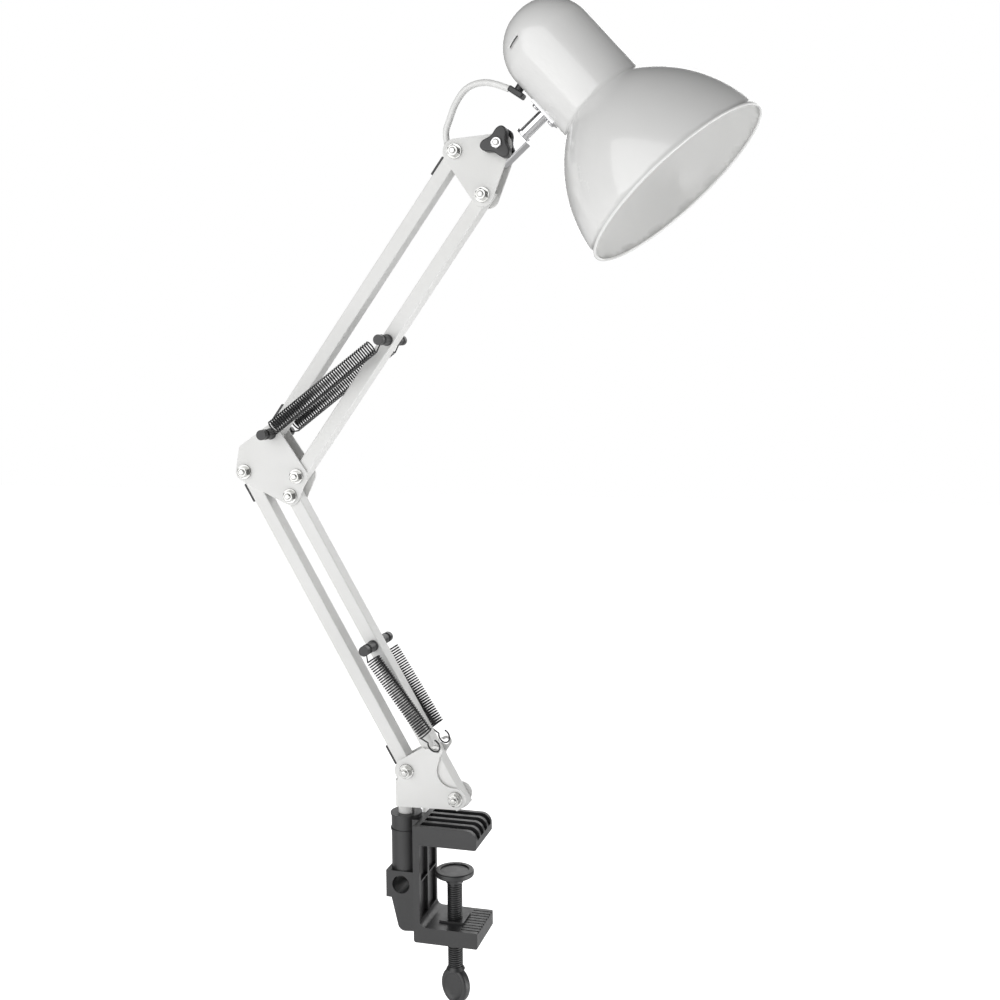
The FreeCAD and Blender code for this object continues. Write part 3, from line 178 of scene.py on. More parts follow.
def make_rubbed():
    """A mask of small rubbed specks, for plating and spring wire."""
    tree, entry, out = new_group("rubbed", [("Vector", "Vector", None), ("Scale", "Float", 400.0),
                                            ("Reach", "Float", 0.6)], [("Mask", "Float")])
    noise = noise_in(tree, entry, 5.0, 0.7)
    edge = tree.nodes.new("ShaderNodeMath")
    edge.operation = "ADD"
    edge.inputs[1].default_value = 0.08
    ramp = tree.nodes.new("ShaderNodeMapRange")
    tree.links.new(entry.outputs["Reach"], edge.inputs[0])
    tree.links.new(noise.outputs["Fac"], ramp.inputs["Value"])
    tree.links.new(entry.outputs["Reach"], ramp.inputs["From Min"])
    tree.links.new(edge.outputs["Value"], ramp.inputs["From Max"])
    tree.links.new(ramp.outputs["Result"], out.inputs["Mask"])
    return tree


MOTTLE, HANDLING, SKIN, RUBBED = make_mottle(), make_handling(), make_skin(), make_rubbed()


# ---------------------------------------------------------------- finishes

def placed(tree, group, vector, **values):
    """One of the shared groups in a material, fed with Object coordinates."""
    node = tree.nodes.new("ShaderNodeGroup")
    node.node_tree = group
    tree.links.new(vector, node.inputs["Vector"])
    for title, value in values.items():
        node.inputs[title].default_value = value
    return node


def finish(name, deep, pale, rough, skin, patch=25.0, metallic=0.0, coat=0.0, coat_rough=0.05, ior=1.5,
           rubbed=None):
    """A finish of two close colours, a wandering roughness and a fine skin.

    rough is (low, high), skin is (scale, depth in millimetres), rubbed is (scale, reach, colour)."""
    material = bpy.data.materials.new(name)
    material.use_nodes = True
    tree = material.node_tree
    shader = tree.nodes["Principled BSDF"]
    shader.inputs["Metallic"].default_value = metallic
    shader.inputs["IOR"].default_value = ior
    shader.inputs["Coat Weight"].default_value = coat
    shader.inputs["Coat Roughness"].default_value = coat_rough
    where = tree.nodes.new("ShaderNodeTexCoord").outputs["Object"]
    colour = placed(tree, MOTTLE, where, Scale=patch, Deep=(*deep, 1), Pale=(*pale, 1)).outputs["Color"]
    if rubbed:
        scale, reach, bare = rubbed
        mask = placed(tree, RUBBED, where, Scale=scale, Reach=reach).outputs["Mask"]
        mix = tree.nodes.new("ShaderNodeMix")
        mix.data_type = "RGBA"
        mix.inputs["B"].default_value = (*bare, 1)
        tree.links.new(mask, mix.inputs["Factor"])
        tree.links.new(colour, mix.inputs["A"])
        colour = mix.outputs["Result"]
    tree.links.new(colour, shader.inputs["Base Color"])
    worn = placed(tree, HANDLING, where, Scale=patch * 4, Low=rough[0], High=rough[1])
    tree.links.new(worn.outputs["Value"], shader.inputs["Roughness"])
    grain = placed(tree, SKIN, where, Scale=skin[0], Depth=skin[1] * MM)
    tree.links.new(grain.outputs["Normal"], shader.inputs["Normal"])
    return material


FINISHES = {
    "white_paint": finish("white_powder_coat", (0.79, 0.79, 0.775), (0.83, 0.83, 0.82), (0.34, 0.44),
                          (1400, 0.012), patch=14),
    "shade_enamel": finish("white_stove_enamel", (0.815, 0.815, 0.805), (0.85, 0.85, 0.842), (0.20, 0.28),
                           (260, 0.012), patch=9, coat=0.6, coat_rough=0.08),
    "black_plastic": finish("black_moulded_nylon", (0.014, 0.014, 0.015), (0.022, 0.022, 0.023), (0.36, 0.48),
                            (1700, 0.03), patch=30, ior=1.65, rubbed=(900, 0.66, (0.06, 0.06, 0.062))),
    "zinc": finish("bright_zinc", (0.50, 0.50, 0.485), (0.66, 0.66, 0.65), (0.16, 0.28), (1500, 0.006),
                   patch=120, metallic=1.0, rubbed=(700, 0.66, (0.34, 0.33, 0.31))),
    "chrome": finish("polished_chrome", (0.62, 0.62, 0.63), (0.70, 0.70, 0.71), (0.05, 0.12), (300, 0.002),
                     patch=60, metallic=1.0),
    "nylon": finish("natural_nylon", (0.74, 0.73, 0.69), (0.80, 0.79, 0.76), (0.4, 0.5), (900, 0.01)),
    "spring_steel": finish("black_spring_wire", (0.011, 0.011, 0.012), (0.020, 0.020, 0.021), (0.24, 0.38),
                           (1600, 0.01), patch=60, rubbed=(1100, 0.67, (0.16, 0.155, 0.15))),
    "lead_vinyl": finish("white_vinyl", (0.86, 0.86, 0.85), (0.90, 0.90, 0.89), (0.30, 0.40), (500, 0.002),
                         patch=40),
    "holder_moulding": finish("white_thermoset", (0.76, 0.76, 0.74), (0.80, 0.80, 0.79), (0.22, 0.32),
                              (500, 0.01), coat=0.3),
}
BRASS = finish("lamp_brass", (0.62, 0.45, 0.20), (0.74, 0.56, 0.28), (0.18, 0.32), (900, 0.006), patch=90,
               metallic=1.0, rubbed=(500, 0.64, (0.36, 0.24, 0.11)))


# ---------------------------------------------------------------- shop tools

def add_piece(name, data, slot, body=None, stands_for=(), material=None):
    """Puts a finished mesh or curve in the scene, on its body, with its finish."""
    obj = bpy.data.objects.new(name, data)
    bpy.context.scene.collection.objects.link(obj)
    obj.data.materials.clear()
    obj.data.materials.append(material or FINISHES[slot])
    if body:
        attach(obj, body)
    if stands_for:
        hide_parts(*stands_for)
    return obj


def mesh_of(bm, name, sharp=38.0):
    """A bmesh made into a mesh with outward faces, smooth but for edges sharper than that angle."""
    bmesh.ops.remove_doubles(bm, verts=bm.verts, dist=0.002 * MM)
    bmesh.ops.recalc_face_normals(bm, faces=bm.faces)
    limit = math.radians(sharp)
    for face in bm.faces:
        face.smooth = True
    for edge in bm.edges:
        edge.smooth = not (len(edge.link_faces) == 2 and edge.calc_face_angle(0) > limit)
    mesh = bpy.data.meshes.new(name)
    bm.to_mesh(mesh)
    bm.free()
    return mesh


def axes_at(origin, way, side=ACROSS):
    """A frame at origin with Z along way and Y as near to side as it goes."""
    z = way.normalized()
    x = side.cross(z).normalized()
    return Matrix.Translation(origin) @ Matrix((x, z.cross(x), z)).transposed().to_4x4()


def lathe(bm, profile, steps, place=Matrix.Identity(4)):
    """Spins a chain of (radius, height) points about Z and sets it at place."""
    chain = [bm.verts.new(mm(r, 0, z)) for r, z in profile]
    spun = [bm.edges.new(pair) for pair in zip(chain, chain[1:])]
    before = set(bm.verts) - set(chain)
    bmesh.ops.spin(bm, geom=chain + spun, cent=(0, 0, 0), axis=UP, angle=math.tau, steps=steps, use_merge=True)
    made = [v for v in bm.verts if v not in before]
    bmesh.ops.transform(bm, matrix=place, verts=made)


def arc(cx, cz, radius, start, end, count):
    """Points of an arc, its angles in degrees."""
    turns = [math.radians(start + (end - start) * i / count) for i in range(count + 1)]
    return [(cx + radius * math.cos(t), cz + radius * math.sin(t)) for t in turns]


def threaded(bm, root, crest, pitch, turns, place, steps=40):
    """A screw thread: a zigzag chain turned once while it climbs one pitch."""
    chain = []
    for i in range(turns):
        low = i * pitch
        chain += [(root, low), (root, low + 0.18 * pitch), (crest, low + 0.42 * pitch), (crest, low + 0.72 * pitch)]
    verts = [bm.verts.new(mm(r, 0, z)) for r, z in chain]
    spun = [bm.edges.new(pair) for pair in zip(verts, verts[1:])]
    before = set(bm.verts) - set(verts)
    bmesh.ops.spin(bm, geom=verts + spun, cent=(0, 0, 0), axis=UP, dvec=(0, 0, pitch * MM / steps),
                   angle=math.tau, steps=steps)
    made = [v for v in bm.verts if v not in before]
    bmesh.ops.transform(bm, matrix=place, verts=made)


def wire_mesh(name, line, radius, sides=2, caps=True):
    """A round wire along close points, as a mesh."""
    data = bpy.data.curves.new(name + "_wire", "CURVE")
    data.dimensions = "3D"
    data.bevel_depth = radius * MM
    data.bevel_resolution = sides
    data.use_fill_caps = caps
    spline = data.splines.new("POLY")
    spline.points.add(len(line) - 1)
    for point, place in zip(spline.points, line):
        point.co = (*place, 1)
    maker = bpy.data.objects.new(name + "_maker", data)
    mesh = bpy.data.meshes.new_from_object(maker)
    bpy.data.objects.remove(maker)
    mesh.name = name
    mesh.shade_smooth()
    return mesh


def nurbs(name, points, radius=0.0):
    """A smooth open NURBS curve with those points, in millimetres, as its control points."""
    data = bpy.data.curves.new(name, "CURVE")
    data.dimensions = "3D"
    data.resolution_u = 8
    data.bevel_depth = radius * MM
    data.bevel_resolution = 4
    data.use_fill_caps = True
    spline = data.splines.new("NURBS")
    spline.points.add(len(points) - 1)
    for point, place in zip(spline.points, points):
        point.co = (*mm(*place), 1)
    spline.order_u = 3
    spline.use_endpoint_u = True
    return data


def line_of(points):
    """Close points along the NURBS line of a route."""
    maker = bpy.data.objects.new("route_maker", nurbs("route", points))
    mesh = bpy.data.meshes.new_from_object(maker)
    bpy.data.objects.remove(maker)
    return [v.co.copy() for v in mesh.vertices]


def length_of(line):
    return sum((b - a).length for a, b in zip(line, line[1:]))


def cut_line(line, lengths):
    """Splits close points into stretches of those lengths, in metres, and the rest."""
    stretches, current, left = [], [line[0]], list(lengths)
    for a, b in zip(line, line[1:]):
        step = (b - a).length
        while left and length_of(current) + (b - current[-1]).length > left[0]:
            here = current[-1].lerp(b, (left[0] - length_of(current)) / (b - current[-1]).length)
            stretches.append(current + [here])
            current = [here]
            left.pop(0)
        if step:
            current.append(b)
    return stretches + [current]


# ---------------------------------------------------------------- the lamp's places

def joint_place(name):
    return Vector(next(j for j in frame["joints"] if j["name"] == name)["pos_m"])


def middle(node):
    low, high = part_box(node)
    return (low + high) / 2


BASE_LEFT, BASE_RIGHT = joint_place("lower_arm"), joint_place("lower_arm_right")
ELBOW_LEFT, ELBOW_PEG = joint_place("elbow_level"), joint_place("upper_arm")
ELBOW_LINK, HEAD_LEFT = joint_place("upper_arm_right"), joint_place("head_level")
ELBOW_RIGHT = BASE_RIGHT + ELBOW_LEFT - BASE_LEFT
HEAD_RIGHT = ELBOW_LINK + HEAD_LEFT - ELBOW_PEG
TILT = joint_place("head_tilt")
LOWER_PEG, UPPER_PEG = middle("lower_peg_pin"), middle("upper_peg_pin")


def beside_bar(start, end, side, up):
    """A point beside a bar: side millimetres to its left and up along it from start."""
    way = (end - start).normalized()
    right = ACROSS.cross(way)
    return (start + way * up * MM - right * side * MM) / MM


# ---------------------------------------------------------------- the lead

LEAD_RADIUS = 2.6
LEAD_OUT = 6.6
LEAD_PAST = 2.0
LEAD_RISE = 12.2
SHADE_ROUTE = [(50.6, 1.7, 587.4), (40.5, 1.2, 591.8), (29.5, 0.6, 594)]
HEAD_ROUTE = [(16.5, 0.2, 590.4), (7.6, 0, 578.4), (3.2, 0, 566.8), (-1.05, 0, 556.04)]
ELBOW_ROUTE = [(-158.55, 0, 319.5), (-165.5, 0, 314.5), (-173.5, 0, 309.7), (-180.2, 0, 303.2),
               (-182.62, 0, 293.02)]
FOOT_ROUTE = [(-38.15, 0, 43.7), (-34.6, 1.2, 38.6), (-30, 4.8, 36), (-30, 10.4, 36)]
DROP_ROUTE = [(-30, 10.45, 36), (-30, 20, 36), (-31.6, 30, 33.2), (-34.8, 38.6, 26.6), (-38, 44, 17.6),
              (-39.8, 46.4, 9), (-40, 46.6, 2.3)]
TAIL_ROUTE = [(-52, 26.5, 2.3), (-52, 26.5, 11), (-52, 32.2, 18.9), (-52, 41.5, 22), (-52, 50.8, 18.9),
              (-52, 56.6, 11), (-52, 56.6, 2.3)]
HANK_MIDDLE = -46.0
HANK_TURNS = 5
HANK_FOLD = 13.2
HANK_TOP, HANK_FOOT = -14.2, -61.8
HANK_LAY = 5.2
LOOP_TO_SHADE = 0.0325
LOOP_OVER_HEAD = 0.0320


def bending_lead(name, line, stands_for=()):
    """A stretch of the lead across one joint, drawn as a round wire along the line and put on no body."""
    piece = add_piece(name, wire_mesh(name, line, LEAD_RADIUS, 4), "lead_vinyl", stands_for=stands_for)
    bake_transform(piece)
    return piece


def make_head_loop():
    """The loop from the gland down into the upper arm, split where the head's joints turn."""
    reach = (HEAD_LEFT - ELBOW_PEG).length / MM
    entry = beside_bar(ELBOW_PEG, HEAD_LEFT, LEAD_RISE, reach + LEAD_PAST)
    line = line_of(SHADE_ROUTE + HEAD_ROUTE + [entry])
    near, over, down = cut_line(line, (LOOP_TO_SHADE, LOOP_OVER_HEAD))
    loop = bending_lead("lead_loop_shade", near, ["lead_shade"])
    loop = bending_lead("lead_loop_head", over, ["lead_head"])
    bending_lead("lead_loop_arm", down)


def make_elbow_loop():
    """The short loop between the elbow plates, split where it passes from arm to arm."""
    start = beside_bar(ELBOW_PEG, HEAD_LEFT, LEAD_OUT, -LEAD_PAST)
    reach = (ELBOW_LEFT - BASE_LEFT).length / MM
    end = beside_bar(BASE_LEFT, ELBOW_LEFT, LEAD_OUT, reach + LEAD_PAST)
    line = line_of([start] + ELBOW_ROUTE + [end])
    high, low = cut_line(line, (length_of(line) / 2,))
    bending_lead("lead_elbow_upper", high, ["lead_elbow"])
    bending_lead("lead_elbow_lower", low)


def hank_points():
    """Five long turns side by side, each a little different, behind the clamp."""
    points = [(-40, 46.6, 2.3), (-38.4, 46.6, -6), (-34.4, 46.6, -15)]
    straights = (HANK_TOP - 8, (HANK_TOP + HANK_FOOT) / 2, HANK_FOOT + 8)
    folds = [math.radians(180 * k / 6) for k in range(7)]
    for i in range(HANK_TURNS):
        fold = HANK_FOLD - 0.25 * (1 + math.sin(2.1 * i))
        turn = [(fold, z) for z in straights]
        turn += [(fold * math.cos(a), HANK_FOOT - fold * math.sin(a)) for a in folds]
        turn += [(-fold, z) for z in reversed(straights)]
        turn += [(-fold * math.cos(a), HANK_TOP + fold * math.sin(a)) for a in folds[:-1]]
        if i == HANK_TURNS - 1:
            turn = turn[:-len(folds)]
        points += [(HANK_MIDDLE + x, 46.6 - HANK_LAY * (i + k / 19), z) for k, (x, z) in enumerate(turn)]
    return points + [(-56.5, 27.2, -13), (-52.6, 26.6, -5)] + TAIL_ROUTE


def make_tie():
    """The flat band round the middle of the hank."""
    bm = bmesh.new()
    low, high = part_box("lead_hank")
    size = high - low
    bmesh.ops.create_cube(bm, size=1.0)
    bmesh.ops.scale(bm, vec=(size.x - 1.0 * MM, size.y - 1.6 * MM, 7 * MM), verts=bm.verts)
    caps = [f for f in bm.faces if abs(f.normal.z) > 0.9]
    bmesh.ops.delete(bm, geom=caps, context="FACES_ONLY")
    uprights = [e for e in bm.edges if abs(e.verts[0].co.z - e.verts[1].co.z) > 5 * MM]
    bmesh.ops.bevel(bm, geom=uprights, offset=5 * MM, segments=6, affect="EDGES", profile=0.5, material=-1)
    bmesh.ops.translate(bm, vec=(low + high) / 2, verts=bm.verts)
    bmesh.ops.recalc_face_normals(bm, faces=bm.faces)
    mesh = mesh_of(bm, "hank_tie")
    tie = add_piece("hank_tie", mesh, "black_plastic", "clamp")
    wall = tie.modifiers.new("wall", "SOLIDIFY")
    wall.thickness = 0.8 * MM
    wall.offset = 0.0
    return tie


def make_mains_lead():
    """The bend at the foot, the drop from the grommet, and the tied hank behind the clamp with its tail."""
    start = beside_bar(BASE_LEFT, ELBOW_LEFT, LEAD_OUT, -LEAD_PAST)
    bending_lead("lead_foot_bend", line_of([start] + FOOT_ROUTE), ["lead_foot"])
    drop = line_of(DROP_ROUTE)
    piece = bending_lead("lead_drop_bend", drop, ["lead_drop"])
    points = hank_points()
    hank = add_piece("lead_hank_turns", nurbs("lead_hank_turns", points, LEAD_RADIUS), "lead_vinyl", "clamp",
                     ["lead_hank", "lead_tail"])
    round(length_of(line_of(points)), 2)
    make_tie()


make_head_loop()
make_elbow_loop()
make_mains_lead()


# ---------------------------------------------------------------- springs

WIRE = 0.62
COIL = 5.6
PEG_LEAD = 9.0
RING_LEAD = 15.0
GROOVE = 21.0
PEG_LOOP = 3.7
RING = 5.4
RING_BACK = 4.2
RING_TILT = math.radians(20)
HOOK_OFFSET = mm(26.905, 0, 20.114)
HOOK_SIDE = 12.657
STEPS = 14


def end_loop(centre, way, side, radius, tilt):
    """An open loop round centre that runs on towards way; tilt turns its plane about way."""
    lift = (way.cross(side) * math.cos(tilt) + side * math.sin(tilt)) * radius * MM
    turns = [math.radians(50 + 270 * k / 16) for k in range(17)]
    return [centre + way * radius * MM * math.cos(a) + lift * math.sin(a) for a in turns]


def spring_line(start, end, turns, ringed):
    """The wire of an extension spring: a loop at each end and the coils between them."""
    way = (end - start).normalized()
    side = (ACROSS - way * ACROSS.dot(way)).normalized()
    lift = way.cross(side)
    reach = (end - start).length - (PEG_LEAD + (RING_LEAD if ringed else PEG_LEAD)) * MM
    coils = []
    for k in range(turns * STEPS + 1):
        a = math.tau * k / STEPS
        coils.append(start + way * (PEG_LEAD * MM + reach * k / (turns * STEPS))
                     + (side * math.sin(a) - lift * math.cos(a)) * COIL * MM)
    first = end_loop(start, way, side, PEG_LOOP, 0.0)
    if ringed:
        last = end_loop(end - way * RING_BACK * MM, -way, -side, RING, RING_TILT)
    else:
        last = end_loop(end, -way, -side, PEG_LOOP, 0.0)
    return first + coils + list(reversed(last))


def make_springs():
    for title, way in (("front", -1), ("rear", 1)):
        across = ACROSS * way * GROOVE * MM
        top = ELBOW_PEG + across
        name = "upper_coil_" + title
        line = spring_line(top, UPPER_PEG + across, 50, False)
        coil = add_piece(name, wire_mesh(name, line, WIRE), "spring_steel",
                         stands_for=["upper_spring_" + title])
        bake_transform(coil)
        hook = BASE_LEFT + HOOK_OFFSET + ACROSS * way * HOOK_SIDE * MM
        name = "lower_coil_" + title
        line = spring_line(LOWER_PEG + across, hook, 35, True)
        coil = add_piece(name, wire_mesh(name, line, WIRE), "spring_steel",
                         stands_for=["lower_spring_" + title])
        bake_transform(coil)


make_springs()


# ---------------------------------------------------------------- fasteners

FLATS = 8.0
NUT_HEIGHT = 4.0
BOLT_RADIUS = 2.5
WASHER_RADIUS = 6.0
WASHER = 1.2
PLATE_OUT = 9.2
BOLT_PROUD = 1.5
KNOB_NUT_PROUD = 1.6
KNOB_TURN = math.radians(69)
KNOB_TIP = 13.4
KNOB_WAIST = 7.4
KNOB_POINTED = 1.35


def hex_piece(bm, height, place):
    """A hexagon with its corners turned off at 30 degrees, as on a nut or a bolt head."""
    before = set(bm.verts)
    apothem = FLATS / 2 * MM
    bmesh.ops.create_circle(bm, cap_ends=True, segments=72, radius=apothem)
    ring = [v for v in bm.verts if v not in before]
    for v in ring:
        turn = math.atan2(v.co.y, v.co.x)
        v.co *= 1 / math.cos((turn + math.pi / 6) % (math.pi / 3) - math.pi / 6)
    cap = next(f for f in bm.faces if set(f.verts) == set(ring))
    grown = bmesh.ops.extrude_face_region(bm, geom=[cap])["geom"]
    tops = [v for v in grown if isinstance(v, bmesh.types.BMVert)]
    lid = next(f for f in grown if isinstance(f, bmesh.types.BMFace))
    for v in tops:
        v.co.z = height * MM - max(0.0, v.co.length - apothem * 0.95) * math.tan(math.radians(30))
    bmesh.ops.inset_region(bm, faces=[lid], thickness=0.3 * MM)
    for v in lid.verts:
        turn = math.atan2(v.co.y, v.co.x)
        v.co = Vector((math.cos(turn), math.sin(turn), 0)) * apothem * 0.92 + UP * height * MM
    bmesh.ops.transform(bm, matrix=place, verts=[v for v in bm.verts if v not in before])


def washer_profile(radius, bore, thick):
    edge = 0.18
    return [(bore, 0), (radius - edge, 0), (radius, edge), (radius, thick - edge), (radius - edge, thick),
            (bore + 0.1, thick), (bore, 0)]


def bolt_profile(start, end, dome=0.9):
    """A shank with a rounded end, from the head at start to its tip at end."""
    return ([(0.001, start), (BOLT_RADIUS, start), (BOLT_RADIUS, end - dome)]
            + [(r, z) for r, z in arc(BOLT_RADIUS - dome, end - dome, dome, 0, 90, 6)] + [(0.001, end)])


def at_side(pivot, side, way):
    """A frame on the pivot's axis, side millimetres off the lamp's plane, with Z along way."""
    return axes_at(pivot + way * side * MM, way, UP)


def make_fasteners(bracket, pivots, body):
    """The bolts of one bracket, and its nuts with their washers."""
    stack = PLATE_OUT + WASHER
    tip = stack + NUT_HEIGHT + BOLT_PROUD
    bolts, nuts = bmesh.new(), bmesh.new()
    for pivot in pivots:
        lathe(bolts, bolt_profile(-stack, tip), 40, at_side(pivot, 0, FRONT))
        hex_piece(bolts, NUT_HEIGHT - 0.5, at_side(pivot, stack, ACROSS))
        hex_piece(nuts, NUT_HEIGHT, at_side(pivot, stack, FRONT))
        for way in (FRONT, ACROSS):
            lathe(nuts, washer_profile(WASHER_RADIUS, BOLT_RADIUS, WASHER), 64,
                  at_side(pivot, PLATE_OUT + 0.01, way))
    add_piece(bracket + "_bolt_set", mesh_of(bolts, bracket + "_bolt_set", 28), "zinc", body,
              [bracket + "_bolts"])
    add_piece(bracket + "_nut_set", mesh_of(nuts, bracket + "_nut_set", 20), "zinc", body, [bracket + "_nuts"])


def make_tilt_fasteners():
    """The long bolt of the tilt joint, its two washers, and the nut sunk in the knob."""
    stack = PLATE_OUT + WASHER
    face = -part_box("tilt_knob")[0].y / MM
    bolt = bmesh.new()
    lathe(bolt, bolt_profile(-stack, face + KNOB_NUT_PROUD + BOLT_PROUD), 40, at_side(TILT, 0, FRONT))
    hex_piece(bolt, NUT_HEIGHT - 0.5, at_side(TILT, stack, ACROSS))
    add_piece("tilt_bolt_long", mesh_of(bolt, "tilt_bolt_long", 28), "zinc", "head", ["tilt_bolt"])
    washers = bmesh.new()
    for way, radius in ((FRONT, WASHER_RADIUS + 1), (ACROSS, WASHER_RADIUS)):
        lathe(washers, washer_profile(radius, BOLT_RADIUS, WASHER), 64, at_side(TILT, PLATE_OUT + 0.01, way))
    add_piece("tilt_washer_pair", mesh_of(washers, "tilt_washer_pair", 20), "zinc", "head", ["tilt_washers"])
    nut = bmesh.new()
    hex_piece(nut, NUT_HEIGHT, at_side(TILT, face + KNOB_NUT_PROUD - NUT_HEIGHT, FRONT))
    add_piece("knob_nut_sunk", mesh_of(nut, "knob_nut_sunk", 20), "chrome", "knob", ["knob_nut"])


def make_knob():
    """The three-lobed tilt knob, its rims rounded."""
    low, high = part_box("tilt_knob")
    bm = bmesh.new()
    bmesh.ops.create_circle(bm, cap_ends=True, segments=180, radius=1.0)
    for v in bm.verts:
        turn = math.atan2(v.co.y, v.co.x)
        lobe = ((1 + math.cos(3 * (turn - KNOB_TURN))) / 2) ** KNOB_POINTED
        v.co = Vector((math.cos(turn), math.sin(turn), 0)) * (KNOB_WAIST + (KNOB_TIP - KNOB_WAIST) * lobe) * MM
    grown = bmesh.ops.extrude_face_region(bm, geom=list(bm.faces))["geom"]
    tops = [v for v in grown if isinstance(v, bmesh.types.BMVert)]
    bmesh.ops.translate(bm, vec=UP * (high.y - low.y), verts=tops)
    rims = [e for e in bm.edges if abs(e.verts[0].co.z - e.verts[1].co.z) < 1e-6 and len(e.link_faces) == 2]
    bmesh.ops.bevel(bm, geom=rims, offset=1.1 * MM, segments=4, affect="EDGES", profile=0.5, material=-1)
    bmesh.ops.transform(bm, matrix=at_side(TILT, -high.y / MM, FRONT), verts=bm.verts)
    add_piece("tilt_knob_moulded", mesh_of(bm, "tilt_knob_moulded", 40), "black_plastic", "knob", ["tilt_knob"])


make_knob()
make_fasteners("base", (BASE_LEFT, BASE_RIGHT), "base")
make_fasteners("elbow", (ELBOW_LEFT, ELBOW_RIGHT, ELBOW_LINK), "elbow")
make_fasteners("head", (HEAD_LEFT, HEAD_RIGHT), "head")
make_tilt_fasteners()


# ---------------------------------------------------------------- clamp screw

SCREW_RADIUS = 6.0
SCREW_ROOT = 5.2
SCREW_PITCH = 1.75
SCREW_FOOT = -104.0
SCREW_SHOULDER = -35.5
NOSE_RADIUS = 4.0
NOSE_LENGTH = 5.0
PADDLE_WIDTH = 25.0
PADDLE_LENGTH = 29.0
PADDLE_THICK = 7.6
PADDLE_TURN = math.radians(-20.0)


def make_clamp_screw():
    """The moulded clamp screw: its thread, the nose in the pad, and the dished thumb paddle."""
    bm = bmesh.new()
    turns = int((SCREW_SHOULDER - SCREW_FOOT) / SCREW_PITCH) - 1
    threaded(bm, SCREW_ROOT, SCREW_RADIUS, SCREW_PITCH, turns, Matrix.Translation(mm(0, 0, SCREW_FOOT)))
    lathe(bm, [(0.001, SCREW_FOOT - 3), (SCREW_ROOT, SCREW_FOOT - 3), (SCREW_ROOT, SCREW_SHOULDER - 1),
               (SCREW_ROOT - 0.4, SCREW_SHOULDER), (NOSE_RADIUS, SCREW_SHOULDER),
               (NOSE_RADIUS, SCREW_SHOULDER + NOSE_LENGTH - 0.6),
               (NOSE_RADIUS - 0.6, SCREW_SHOULDER + NOSE_LENGTH), (0.001, SCREW_SHOULDER + NOSE_LENGTH)], 48)
    lathe(bm, [(0.001, SCREW_FOOT - 2), (SCREW_RADIUS + 1.2, SCREW_FOOT - 2),
               (SCREW_RADIUS + 1.5, SCREW_FOOT - 1.4), (SCREW_RADIUS, SCREW_FOOT + 1.2),
               (SCREW_ROOT, SCREW_FOOT + 1.2), (0.001, SCREW_FOOT + 1.2)], 48)
    add_piece("clamp_screw_thread", mesh_of(bm, "clamp_screw_thread", 30), "black_plastic", "clamp_screw",
              ["clamp_screw"])
    bm = bmesh.new()
    bmesh.ops.create_circle(bm, cap_ends=True, segments=96, radius=PADDLE_WIDTH / 2 * MM)
    bmesh.ops.scale(bm, vec=(1, PADDLE_LENGTH / PADDLE_WIDTH, 1), verts=bm.verts)
    bmesh.ops.translate(bm, vec=mm(0, 0, -PADDLE_THICK / 2), verts=bm.verts)
    grown = bmesh.ops.extrude_face_region(bm, geom=list(bm.faces))["geom"]
    tops = [v for v in grown if isinstance(v, bmesh.types.BMVert)]
    bmesh.ops.translate(bm, vec=mm(0, 0, PADDLE_THICK), verts=tops)
    rims = [e for e in bm.edges if abs(e.verts[0].co.z - e.verts[1].co.z) < 1e-6 and len(e.link_faces) == 2]
    bmesh.ops.bevel(bm, geom=rims, offset=2.2 * MM, segments=5, affect="EDGES", profile=0.5, material=-1)
    for face in [f for f in bm.faces if len(f.verts) > 50]:
        out = face.normal.copy()
        bmesh.ops.inset_region(bm, faces=[face], thickness=1.2 * MM)
        bmesh.ops.inset_region(bm, faces=[face], thickness=1.4 * MM, depth=-0.9 * MM)
        bmesh.ops.inset_region(bm, faces=[face], thickness=3.0 * MM, depth=-0.15 * MM)
        centre = bmesh.ops.poke(bm, faces=[face])["verts"]
        bmesh.ops.translate(bm, vec=out * -0.1 * MM, verts=centre)
    stand = (Matrix.Translation(mm(0, 0, SCREW_FOOT - PADDLE_LENGTH / 2)) @ Matrix.Rotation(PADDLE_TURN, 4, "Z")
             @ Matrix.Rotation(math.pi / 2, 4, "X"))
    bmesh.ops.transform(bm, matrix=stand, verts=bm.verts)
    add_piece("thumb_paddle", mesh_of(bm, "thumb_paddle", 30), "black_plastic", "clamp_screw")


make_clamp_screw()


# ---------------------------------------------------------------- lamp holder

HOLDER_BORE = 13.3
HOLDER_DEPTH = 26.0


def make_holder_shell():
    """The threaded brass shell and the centre contact inside the lamp holder."""
    mount = next(m for m in frame["record"]["mounts"] if m["name"] == "bulb_socket")
    out = Vector(mount["axis"])
    mouth = Vector(mount["pos_m"]) + out * HOLDER_DEPTH / 2 * MM
    seat = axes_at(mouth - out * (HOLDER_DEPTH - 1) * MM, out)
    bm = bmesh.new()
    threaded(bm, HOLDER_BORE - 0.15, HOLDER_BORE - 0.95, 3.6, 6, seat, 48)
    lathe(bm, [(0.001, 0.2), (HOLDER_BORE - 0.2, 0.2), (HOLDER_BORE - 0.2, 0.7), (0.001, 0.7)], 48, seat)
    lathe(bm, [(0.001, 2.6), (3.0, 2.4), (3.6, 1.6), (3.6, 0.7), (0.001, 0.7)], 32, seat)
    add_piece("holder_shell", mesh_of(bm, "holder_shell", 40), "zinc", "shade", material=BRASS)


make_holder_shell()


# ---------------------------------------------------------------- the CAD pieces' finishes

